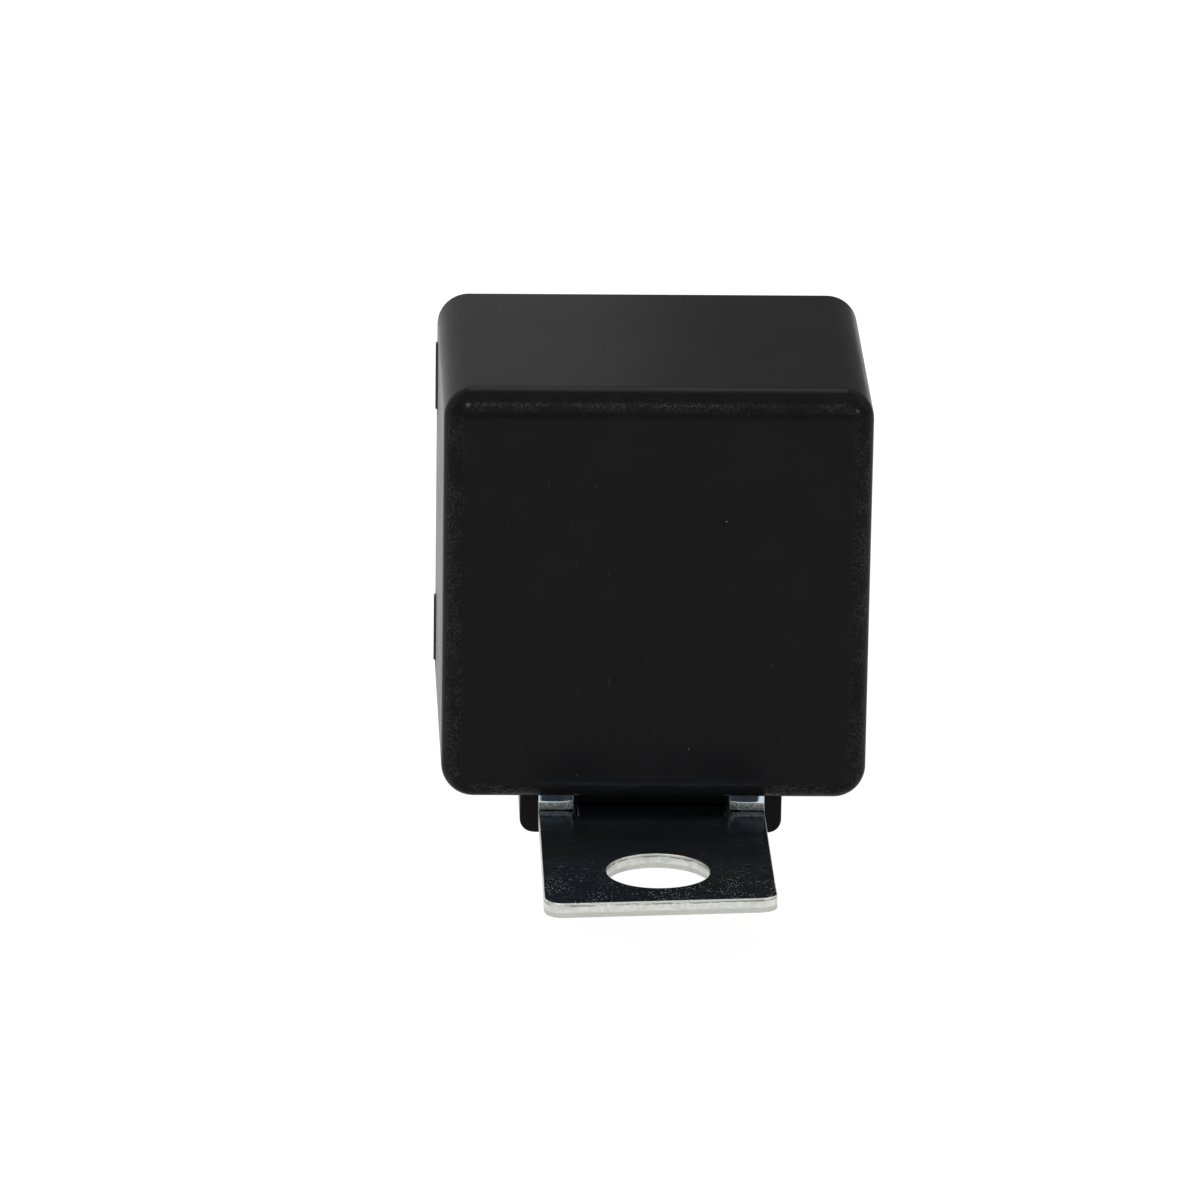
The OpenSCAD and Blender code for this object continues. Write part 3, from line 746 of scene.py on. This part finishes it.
def finish_piece(
    piece: bpy.types.Object,
    materials: Sequence[bpy.types.Material],
    body: str,
    stands_for: str,
    sharp_deg: float = 32.0,
) -> bpy.types.Object:
    """Scales a piece to metres, shades it, dresses it and ties it to the frame.

    Args:
        piece: the piece, drawn in millimetres.
        materials: its materials, in the order of its faces' numbers.
        body: the CAD body that it rides on; an empty name leaves it free.
        stands_for: the CAD node that it replaces.
        sharp_deg: the angle from which its edges stay hard.

    Returns:
        The piece.
    """
    piece.data.transform(Matrix.Scale(MM, 4))
    set_shading(piece.data, sharp_deg)
    even = piece.modifiers.new("even_normals", "WEIGHTED_NORMAL")
    even.keep_sharp = True
    even.weight = 80
    slots = [face.material_index for face in piece.data.polygons]
    piece.data.materials.clear()
    for material in materials:
        piece.data.materials.append(material)
    piece.data.polygons.foreach_set("material_index", slots)
    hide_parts(stands_for)
    if body:
        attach(piece, body)
    LOG.info("%s: %d faces, on %s", piece.name, len(piece.data.polygons), body or "two bodies")
    return piece


def softened_copy(node: str, name: str, width: float, segments: int = 2) -> bpy.types.Object:
    """A copy of a CAD node with its edges rounded.

    Args:
        node: the CAD node.
        name: the copy's name.
        width: width of the rounding in millimetres.
        segments: the number of steps across it.

    Returns:
        The copy, in millimetres.
    """
    bm = bmesh.new()
    bm.from_mesh(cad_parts[node].data)
    bmesh.ops.scale(bm, vec=Vector((1, 1, 1)) / MM, verts=bm.verts)
    bmesh.ops.remove_doubles(bm, verts=bm.verts, dist=0.0005)
    bmesh.ops.dissolve_limit(bm, angle_limit=math.radians(1.0), verts=bm.verts, edges=bm.edges)
    edges = [e for e in bm.edges if e.is_manifold and e.calc_face_angle(0.0) > math.radians(35)]
    bmesh.ops.bevel(
        bm, geom=edges, offset=width, segments=segments, profile=0.5, affect="EDGES", clamp_overlap=True
    )
    return as_object(bm, name)


# ---------------------------------------------------------------- housing


@dataclass
class Cap:
    """The moulded cap: a drafted box open at its rim, with the strap's pocket on its underside."""

    draft_deg: float = 0.6
    corner: float = 2.1
    edge: float = 2.0
    edge_steps: int = 12
    wall: float = 1.2
    upper_wall: float = 1.4
    roof: float = 1.4
    roof_fillet: float = 0.35
    step_at: float = 3.42
    lip: float = 0.14
    pocket_half: float = 8.6
    pocket_front: float = 13.0
    pocket_back: float = 23.5
    pocket_corner: float = 0.9
    pocket_nose: float = 0.25
    pocket_tail: float = 1.7
    pocket_fillet: float = 0.45
    pocket_upright: float = 0.3
    pocket_root: Point = (-0.12, 0.75)
    slot_half: Point = (4.85, 0.55)
    slot_end: float = 22.2
    slot_flare: Point = (0.25, 0.6)
    core_x: Point = (5.75, 7.7)
    core_z: Point = (-0.1, 2.4)
    core_front: float = 14.6
    core_flare: Point = (0.08, 0.6)
    window_half: Vector = field(default_factory=lambda: Vector((2.0, 0.925, 2.5)))
    window_y: float = 29.775
    window_pitch: float = 8.8
    window_flare: float = 0.95
    catch_y: float = 18.0
    catch_half: Point = (1.8, 1.05)
    catch_z: Point = (-0.3, 0.75)
    catch_slope: float = 0.4
    low: Vector = field(default_factory=lambda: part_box("cap")[0] / MM)
    high: Vector = field(default_factory=lambda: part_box("cap")[1] / MM)

    def __post_init__(self) -> None:
        """Works out the depth, the slope of the walls and the middle height."""
        self.depth = self.high.y - self.low.y
        self.slope = math.tan(math.radians(self.draft_deg))
        self.half_w = self.high.x - self.slope * self.depth
        self.middle = self.high.z - self.half_w - self.slope * self.depth

    def ring(self, s: float, inset: float, radius: float) -> list[Vector]:
        """A section of the cap.

        Args:
            s: distance from the rim.
            inset: distance inwards from the outer wall.
            radius: radius of its corners.

        Returns:
            The section's points.
        """
        w = self.half_w + self.slope * (self.depth - s) - inset
        flat = rounded_rectangle((-w, -w), (w, w), radius, 14)
        return [Vector((x, self.high.y - s, self.middle + z)) for x, z in flat]

    def shell(self) -> bmesh.types.BMesh:
        """The open box with its rounded end, rim and inner step."""
        upper, wall, lip, fillet = self.upper_wall, self.wall, self.lip, self.roof_fillet
        inner, outer = self.corner - upper, self.corner - wall
        top = self.depth - self.roof
        rings = [
            self.ring(top, upper + fillet, inner - fillet),
            self.ring(top - 0.1, upper + 0.1, inner - 0.1),
            self.ring(top - fillet, upper, inner),
            self.ring(self.step_at, upper, inner),
            self.ring(self.step_at, wall, outer),
            self.ring(lip, wall, outer),
        ]
        turns = arc((0.0, 0.0), lip, 0, 90, 3)
        rings += [self.ring(lip - rise, wall - lip + run, outer) for run, rise in turns]
        rings += [self.ring(lip - run, lip - rise, self.corner - lip + rise) for run, rise in turns]
        straight = self.depth - self.edge
        rings += [self.ring(part * straight, 0, self.corner) for part in (0.25, 0.5, 0.75)]
        for i in range(self.edge_steps + 1):
            t = math.radians(90 * i / self.edge_steps)
            inset = self.edge - self.edge * math.cos(t)
            s = straight + self.edge * math.sin(t)
            lean = self.slope * (self.depth - s) - self.slope * self.edge
            rings.append(self.ring(s, inset + lean, self.corner - inset))
        return skin(rings)

    def pocket(self) -> bmesh.types.BMesh:
        """The block that holds the strap, with a rounded foot, a sloped rear and a fillet at its root."""
        foot, wall = self.low.z, self.middle - self.half_w
        under, root = wall + self.pocket_root[0], wall + self.pocket_root[1]
        r, nose_r = self.pocket_corner, self.pocket_nose
        slope, fillet = self.pocket_tail, self.pocket_fillet
        levels: list[tuple[float, float, float, float]] = []
        for i in range(9):
            t = math.radians(90 * i / 8)
            rise = r * (1 - math.cos(t))
            drop = max(0.0, nose_r - rise)
            nose = nose_r - math.sqrt(max(0.0, nose_r ** 2 - drop ** 2))
            levels.append((foot + rise, r * (1 - math.sin(t)), nose, max(0.0, slope - rise)))
        levels.append((foot + slope, 0, 0, 0))
        for i in range(5):
            t = math.radians(90 * i / 4)
            grow = -fillet * (1 - math.cos(t))
            levels.append((under - fillet + fillet * math.sin(t), grow, grow, grow))
        levels.append((root, -fillet, -fillet, -fillet))
        rings = []
        for z, side, nose, tail in levels:
            low = (-self.pocket_half + side, self.pocket_front + nose)
            high = (self.pocket_half - side, self.pocket_back - tail)
            section = rounded_rectangle(low, high, self.pocket_upright, 5)
            rings.append([Vector((x, y, z)) for x, y in section])
        return skin(rings)

    def core(self, side: int) -> bmesh.types.BMesh:
        """The hollow in one side of the pocket, open at its rear."""
        (x0, x1), (z0, z1) = self.core_x, self.core_z
        length = self.pocket_back + 1 - self.core_front
        centre = Vector((side * 0.5 * (x0 + x1), self.core_front + 0.5 * length, 0.5 * (z0 + z1)))
        half = Vector((0.5 * (x1 - x0), 0.5 * length, 0.5 * (z1 - z0)))
        return flared_box(centre, half, 1, 1, *self.core_flare)

    def catch(self) -> bmesh.types.BMesh:
        """The wedge that stands in the strap's window."""
        half_x, half_y = self.catch_half
        low, high = self.catch_z
        front, back = self.catch_y - half_y, self.catch_y + half_y
        side = ((front, low), (back, low), (back, high), (back - self.catch_slope, high))
        return skin([[Vector((x, y, z)) for y, z in side] for x in (-half_x, half_x)])

    def build(self) -> bpy.types.Object:
        """Builds the cap and dresses it."""
        cap = as_object(self.shell(), "cap_shell")
        combine(cap, self.pocket(), "UNION")
        length = self.slot_end - self.pocket_front + 1
        slot = Vector((0, self.slot_end - length / 2, 0.5))
        half = Vector((self.slot_half[0], length / 2, self.slot_half[1]))
        combine(cap, flared_box(slot, half, 1, -1, *self.slot_flare), "DIFFERENCE")
        for sx in (-1, 1):
            combine(cap, self.core(sx), "DIFFERENCE")
            for sz in (-1, 1):
                centre = Vector((sx * self.half_w, self.window_y, self.middle + sz * self.window_pitch))
                flare = self.window_flare
                combine(cap, flared_box(centre, self.window_half, 0, sx, flare, flare), "DIFFERENCE")
        combine(cap, self.catch(), "UNION")
        return finish_piece(cap, [CAP_PLASTIC.material()], "housing", "cap", 25.0)


@dataclass
class Strap:
    """The mounting strap: one blank of sheet with a hole, a tongue and two ears folded up."""

    half_w: float = 7.4
    sheet: float = 1.0
    tip: float = -6.0
    corner: float = 1.2
    hole: float = 3.3
    tongue_half: float = 4.8
    tongue_end: float = 21.9
    notch_end: float = 10.8
    fold_at: float = 11.4
    fold_r: float = 0.6
    ear_top: float = 2.55
    catch_half: Point = (2.0, 1.2)
    catch_y: float = 18.0
    burr: float = 0.1
    twist: Twist = Twist()
    flare: float = 0.3
    flare_w: float = 0.8
    slit: float = 0.3
    tongue_chamfer: Point = (0.8, 1.2)
    # Part of the fold's turn, from 0 to 1, that gets the painted highlight.
    painted_highlight_turn: Point = (0.3, 0.85)
    fold_steps: int = 12
    hole_steps: int = 96

    @property
    def ear_inner(self) -> float:
        """Distance of an ear's inner side from the middle."""
        return self.tongue_half + self.slit

    @property
    def fold_length(self) -> float:
        """Length of the sheet's middle layer round the fold."""
        return 0.5 * math.pi * (self.fold_r + 0.5 * self.sheet)

    def outline(self) -> list[Point]:
        """The blank's outline, with the ears laid flat."""
        ear_end = self.fold_at + self.fold_length + self.ear_top - self.sheet - self.fold_r
        notch_r = 0.5 * self.slit
        notch_x = self.tongue_half + notch_r
        cut_x, cut_y = self.tongue_chamfer
        right = arc((self.half_w - self.corner, self.tip + self.corner), self.corner, -90, 0, 10)
        right += [(self.half_w, ear_end), (self.ear_inner, ear_end)]
        right += arc((notch_x, self.notch_end), notch_r, 0, -180, 8)
        right += [(self.tongue_half, self.tongue_end - cut_y), (self.tongue_half - cut_x, self.tongue_end)]
        return right + [(-x, y) for x, y in reversed(right)]

    def blank(self) -> bpy.types.Object:
        """The flat blank with softly rolled edges, as a mesh."""
        curve = bpy.data.curves.new("blank", "CURVE")
        curve.dimensions = "2D"
        curve.fill_mode = "BOTH"
        curve.extrude = 0.5 * self.sheet - self.burr
        curve.bevel_depth = self.burr
        curve.bevel_resolution = 2
        curve.offset = -self.burr
        (cx, cy), y = self.catch_half, self.catch_y
        window = [(-cx, y + cy), (cx, y + cy), (cx, y - cy), (-cx, y - cy)]
        steps = self.hole_steps
        hole = arc((0, 0), self.hole, 0, -360 * (steps - 1) / steps, steps - 1)
        for points in (self.outline(), hole, window):
            spline = curve.splines.new("POLY")
            spline.points.add(len(points) - 1)
            for point, place in zip(spline.points, points):
                point.co = (*place, 0, 1)
            spline.use_cyclic_u = True
        flat = put("blank", curve)
        mesh = evaluated_mesh(flat)
        bpy.data.objects.remove(flat)
        return put("mounting_strap", mesh)

    def folded(self, p: Vector) -> Vector:
        """Where a point of the flat blank goes when its ear is folded up."""
        bulge = self.flare * max(0.0, 1 - (abs(p.x) - self.ear_inner) / self.flare_w) ** 2
        start = self.fold_at - bulge
        s = p.y - start
        if s <= 0 or abs(p.x) < self.ear_inner - 0.01:
            return p
        centre_z = self.sheet + self.fold_r
        radius = centre_z - p.z
        turn = min(1.0, s / self.fold_length) * 0.5 * math.pi
        rest = max(0.0, s - self.fold_length)
        y = start + radius * math.sin(turn) + bulge * turn / (0.5 * math.pi)
        return Vector((p.x, y, centre_z - radius * math.cos(turn) + max(0.0, rest - bulge)))

    def handled(self, p: Vector) -> Vector:
        """Where a point of the flat strap goes when its free end is twisted."""
        twist = self.twist
        t = min(1.0, max(0.0, (twist.start - p.y) / (twist.start - twist.tip)))
        return Vector((p.x, p.y, p.z + twist.lean * (p.x - twist.about) * t * t))

    def build(self) -> bpy.types.Object:
        """Builds the strap and dresses it."""
        strap = self.blank()
        bm = bmesh.new()
        bm.from_mesh(strap.data)
        bmesh.ops.translate(bm, vec=(0, 0, 0.5 * self.sheet), verts=bm.verts)
        bmesh.ops.remove_doubles(bm, verts=bm.verts, dist=0.001)
        steps = self.fold_steps
        cuts = [self.fold_at + self.fold_length * i / steps for i in range(steps + 1)]
        cuts += [self.tip + 0.5 * i for i in range(1, 9)]
        cuts += [self.fold_at - 0.25 * self.flare * i for i in range(1, 5)]
        planes = [((0, y, 0), (0, 1, 0)) for y in cuts]
        for i in range(1, 5):
            x = self.ear_inner + 0.25 * self.flare_w * i
            planes += [((-x, 0, 0), (1, 0, 0)), ((x, 0, 0), (1, 0, 0))]
        for place, normal in planes:
            geom = bm.verts[:] + bm.edges[:] + bm.faces[:]
            bmesh.ops.bisect_plane(bm, geom=geom, plane_co=place, plane_no=normal, dist=0.0001)
        bmesh.ops.recalc_face_normals(bm, faces=bm.faces)
        bm.normal_update()
        for face in bm.faces:
            at = face.calc_center_median()
            # Faces on the inside of the fold, within that part of its turn, take the material with the
            # painted highlight.
            turned = (at.y - self.fold_at) / self.fold_length
            on_painted_highlight = self.painted_highlight_turn[0] < turned < self.painted_highlight_turn[1] and abs(at.x) > self.ear_inner
            if abs(face.normal.z) < 0.8:
                face.material_index = 1
            elif on_painted_highlight and face.normal.z > 0:
                face.material_index = 2
        for vert in bm.verts:
            vert.co = self.handled(self.folded(vert.co))
        bm.to_mesh(strap.data)
        bm.free()
        materials = [STRAP_ZINC.material(), STRAP_EDGE.material(), FOLD_PAINTED_HIGHLIGHT.material()]
        return finish_piece(strap, materials, "housing", "mounting_bracket", 35.0)


@dataclass
class Socket:
    """The base plate and the five blades that stand in it."""

    base_edge: float = 0.1
    blade_edge: float = 0.07
    blades: Sequence[str] = ("30", "85", "86", "87", "87a")

    def build(self) -> list[bpy.types.Object]:
        """Builds the base and the blades and dresses them."""
        base = softened_copy("base", "base_plate", self.base_edge)
        made = [finish_piece(base, [BASE_PLASTIC.material()], "housing", "base")]
        tin = BLADE_TIN.material()
        for number in self.blades:
            blade = softened_copy(f"terminal_{number}", f"blade_{number}", self.blade_edge)
            made.append(finish_piece(blade, [tin], "housing", f"terminal_{number}"))
        return made


# ---------------------------------------------------------------- magnet and contacts


@dataclass
class Winding:
    """The coil's layers of wire, with the turns of the outer layer standing out."""

    wire: float = 0.24
    around: int = 72
    low: Vector = field(default_factory=lambda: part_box("winding")[0] / MM)
    high: Vector = field(default_factory=lambda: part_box("winding")[1] / MM)
    bore: float = 3.8

    def profile(self) -> list[Point]:
        """Half section as (radius, y): a smooth bore and a row of half-round turns."""
        outer = 0.5 * (self.high.x - self.low.x)
        length = self.high.y - self.low.y
        turns = int(length / self.wire)
        pitch = length / turns
        points = [(self.bore, self.low.y), (self.bore, self.high.y)]
        for i in range(turns):
            centre = (outer - 0.5 * pitch, self.high.y - pitch * (i + 0.5))
            points += arc(centre, 0.5 * pitch, 90, -90, 3)
        return points

    def build(self) -> bpy.types.Object:
        """Builds the winding and dresses it."""
        middle = 0.5 * (self.low.z + self.high.z)
        rings = []
        for i in range(self.around):
            x, z = (f(2 * math.pi * i / self.around) for f in (math.cos, math.sin))
            rings.append([Vector((r * x, y, middle + r * z)) for r, y in self.profile()])
        coil = as_object(skin(rings, closed=True), "coil_turns")
        return finish_piece(coil, [COPPER_WIRE.material()], "housing", "winding")


@dataclass
class SpringLeaf:
    """The contact spring: in the relay its leg stays on the yoke and its fold bends as the armature rocks;
    this leaf is a softened copy that rides on no body.
    """

    edge: float = 0.05
    bend_from: Point = (13.7, 6.2)
    bend_to: Point = (12.5, 7.5)

    def build(self) -> bpy.types.Object:
        """Builds the leaf and dresses it."""
        leaf = softened_copy("contact_spring", "spring_leaf", self.edge, 1)
        finish_piece(leaf, [SPRING_BRONZE.material()], "", "contact_spring")
        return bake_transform(leaf)


@dataclass
class Mechanism:
    """The pieces inside the cap: magnet, resistor, armature and contacts."""

    finishes: Mapping[str, Finish] = field(default_factory=lambda: {
        "yoke": MAGNET_IRON, "core": MAGNET_IRON, "armature": MAGNET_IRON,
        "bobbin": BOBBIN_PLASTIC, "coil_leads": COPPER_WIRE,
        "resistor_body": RESISTOR_COAT, "resistor_leads": TINNED_WIRE,
        "armature_rivets": RIVET_STEEL, "spring_rivets": RIVET_STEEL,
        "moving_contact": CONTACT_SILVER, "no_contact": CONTACT_SILVER, "nc_contact": CONTACT_SILVER,
    })

    def dress(self) -> None:
        """Gives each CAD node that keeps its shape its material."""
        made: dict[str, bpy.types.Material] = {}
        for node, finish in self.finishes.items():
            if finish.name not in made:
                made[finish.name] = finish.material()
            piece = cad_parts[node]
            piece.data.materials.clear()
            piece.data.materials.append(made[finish.name])
            LOG.info("%s: CAD solid in %s", node, finish.name)

    def build(self) -> None:
        """Dresses the carried-over nodes and builds the winding and the spring."""
        self.dress()
        Winding().build()
        SpringLeaf().build()


# ---------------------------------------------------------------- studio


@dataclass(frozen=True)
class Softbox:
    """A soft square lamp that looks at the relay."""

    name: str
    place: Corner
    size: float
    radiance: float
    colour: Colour = WHITE

    def hang(self, target: Vector) -> None:
        """Hangs the lamp, turned to a point."""
        lamp = bpy.data.lights.new(self.name, "AREA")
        lamp.shape = "SQUARE"
        lamp.size = self.size
        lamp.energy = self.radiance * math.pi * self.size ** 2
        lamp.color = self.colour
        holder = put(self.name, lamp)
        holder.location = self.place
        holder.rotation_mode = "QUATERNION"
        holder.rotation_quaternion = (target - Vector(self.place)).to_track_quat("-Z", "Y")


@dataclass(frozen=True)
class Card:
    """A flat grey card that shows only in reflections, from one corner to the other in metres."""

    name: str
    low: Corner
    high: Corner
    shade: float

    def hang(self) -> None:
        """Hangs the card square to the axis along which its corners agree."""
        first = next(i for i in range(3) if self.low[i] != self.high[i])
        low, high = Vector(self.low), Vector(self.high)
        after_low, after_high = low.copy(), high.copy()
        after_low[first], after_high[first] = high[first], low[first]
        bm = bmesh.new()
        bm.faces.new([bm.verts.new(p) for p in (low, after_low, high, after_high)])
        card = as_object(bm, self.name)
        s = Shader(self.name)
        glow = s.node("ShaderNodeEmission", inputs={"Color": (self.shade,) * 3, "Strength": 1.0})
        s.node("ShaderNodeOutputMaterial", inputs={"Surface": glow.outputs[0]})
        card.data.materials.append(s.owner)
        card.visible_camera = False
        card.visible_diffuse = False
        card.visible_shadow = False
        card.visible_transmission = False


@dataclass
class Studio:
    """A white floor, grey cards that show only in reflections, soft lamps and the camera."""

    yaw_deg: float = 1.914
    elevation_deg: float = 17.395
    roll_deg: float = 0.832
    distance: float = 482.04
    focal: float = 7460.6
    frame_size: float = 1200.0
    target: Vector = field(default_factory=lambda: Vector((-3.634, 10.0, 15.991)) * MM)
    floor_gap: float = 9.0
    floor_size: float = 4.0
    floor_grey: float = 0.8
    floor_matt: float = 0.2
    floor_glow: float = 0.92
    world_light: float = 0.5
    lamps: Sequence[Softbox] = (
        Softbox("left_softbox", (-0.314, -0.289, 0.507), 0.11, 32.0, WARM),
        Softbox("right_softbox", (0.518, -0.249, 0.32), 0.11, 26.0, WARM),
        Softbox("back_softbox", (0.0, 0.42, 0.5), 0.3, 2.0),
        Softbox("front_softbox", (-0.02, -0.36, 0.56), 0.16, 2.0),
    )
    cards: Sequence[Card] = (
        Card("front_card", (-1.1, -1.0, 0.1), (1.1, -1.0, 0.55), 0.03),
        Card("ceiling_card", (-1.6, -0.6, 1.4), (1.6, 1.0, 1.4), 0.3),
        Card("left_card", (-1.2, -1.0, 0.12), (-1.2, 0.3, 1.4), 0.2),
        Card("right_card", (1.2, -1.0, 0.12), (1.2, 0.3, 1.4), 0.2),
        Card("back_card", (0.012, 0.35, -0.02), (0.6, 0.35, 0.24), 0.42),
    )

    def camera(self) -> None:
        """Sets up the camera."""
        yaw, elevation, roll = (math.radians(a) for a in (self.yaw_deg, self.elevation_deg, self.roll_deg))
        back = Vector((
            -math.sin(yaw) * math.cos(elevation), -math.cos(yaw) * math.cos(elevation), math.sin(elevation),
        ))
        right = Vector((0, 0, 1)).cross(back).normalized()
        up = back.cross(right)
        turned = math.cos(roll) * right + math.sin(roll) * up
        upright = math.cos(roll) * up - math.sin(roll) * right
        lens = bpy.data.cameras.new("camera")
        lens.sensor_width = 36.0
        lens.lens = lens.sensor_width * self.focal / self.frame_size
        lens.clip_start, lens.clip_end = 0.01, 20.0
        holder = put("camera", lens)
        place = self.target + back * self.distance * MM
        facing = Matrix((turned, upright, back)).transposed().to_4x4()
        holder.matrix_world = Matrix.Translation(place) @ facing
        bpy.context.scene.camera = holder

    @staticmethod
    def seen(s: Shader) -> Term:
        """A mask that is 1 for rays that see the background, straight or in a reflection."""
        path = s.node("ShaderNodeLightPath")
        seen = s.number(path, "Is Camera Ray").most(s.number(path, "Is Glossy Ray"))
        return seen.most(s.number(path, "Is Transmission Ray"))

    def floor(self) -> None:
        """Lays the floor, which shows plain white with a faint shadow and nothing from below."""
        half = 0.5 * self.floor_size
        level = CAD_BOX[0].z - self.floor_gap * MM
        bm = bmesh.new()
        corners = ((-half, -half), (half, -half), (half, half), (-half, half))
        bm.faces.new([bm.verts.new((*corner, level)) for corner in corners])
        ground = as_object(bm, "floor")
        s = Shader("floor")
        matt, plain = (
            s.node("ShaderNodeBsdfDiffuse", inputs={"Color": (grey,) * 3}).outputs[0]
            for grey in (self.floor_matt, self.floor_grey)
        )
        glow = s.node("ShaderNodeEmission", inputs={"Color": WHITE, "Strength": self.floor_glow})
        shown = s.node("ShaderNodeAddShader", inputs={0: matt, 1: glow.outputs[0]}).outputs[0]
        above = s.node("ShaderNodeMixShader", inputs={0: self.seen(s), 1: plain, 2: shown}).outputs[0]
        clear = s.node("ShaderNodeBsdfTransparent").outputs[0]
        below = s.number(s.node("ShaderNodeNewGeometry"), "Backfacing")
        whole = s.node("ShaderNodeMixShader", inputs={0: below, 1: above, 2: clear})
        s.node("ShaderNodeOutputMaterial", inputs={"Surface": whole.outputs[0]})
        ground.data.materials.append(s.owner)

    def world(self) -> None:
        """Lights the scene evenly and shows plain white behind it."""
        s = Shader("world", of_world=True)
        level = s.node("ShaderNodeMapRange", inputs={0: self.seen(s), 3: self.world_light, 4: 1.0})
        sky = s.node("ShaderNodeBackground", inputs={"Color": WHITE, "Strength": level.outputs[0]})
        s.node("ShaderNodeOutputWorld", inputs={"Surface": sky.outputs[0]})
        bpy.context.scene.world = s.owner

    def build(self) -> None:
        """Sets up the camera, the floor, the world, the cards and the lamps."""
        self.camera()
        self.floor()
        self.world()
        for card in self.cards:
            card.hang()
        for lamp in self.lamps:
            lamp.hang(self.target)
        bpy.context.scene.view_settings.view_transform = "Standard"


def main() -> None:
    """Builds the relay and its studio."""
    logging.basicConfig(level=logging.INFO, format="%(name)s: %(message)s")
    Studio().build()
    Cap().build()
    Strap().build()
    Socket().build()
    Mechanism().build()


if __name__ == "__main__":
    main()
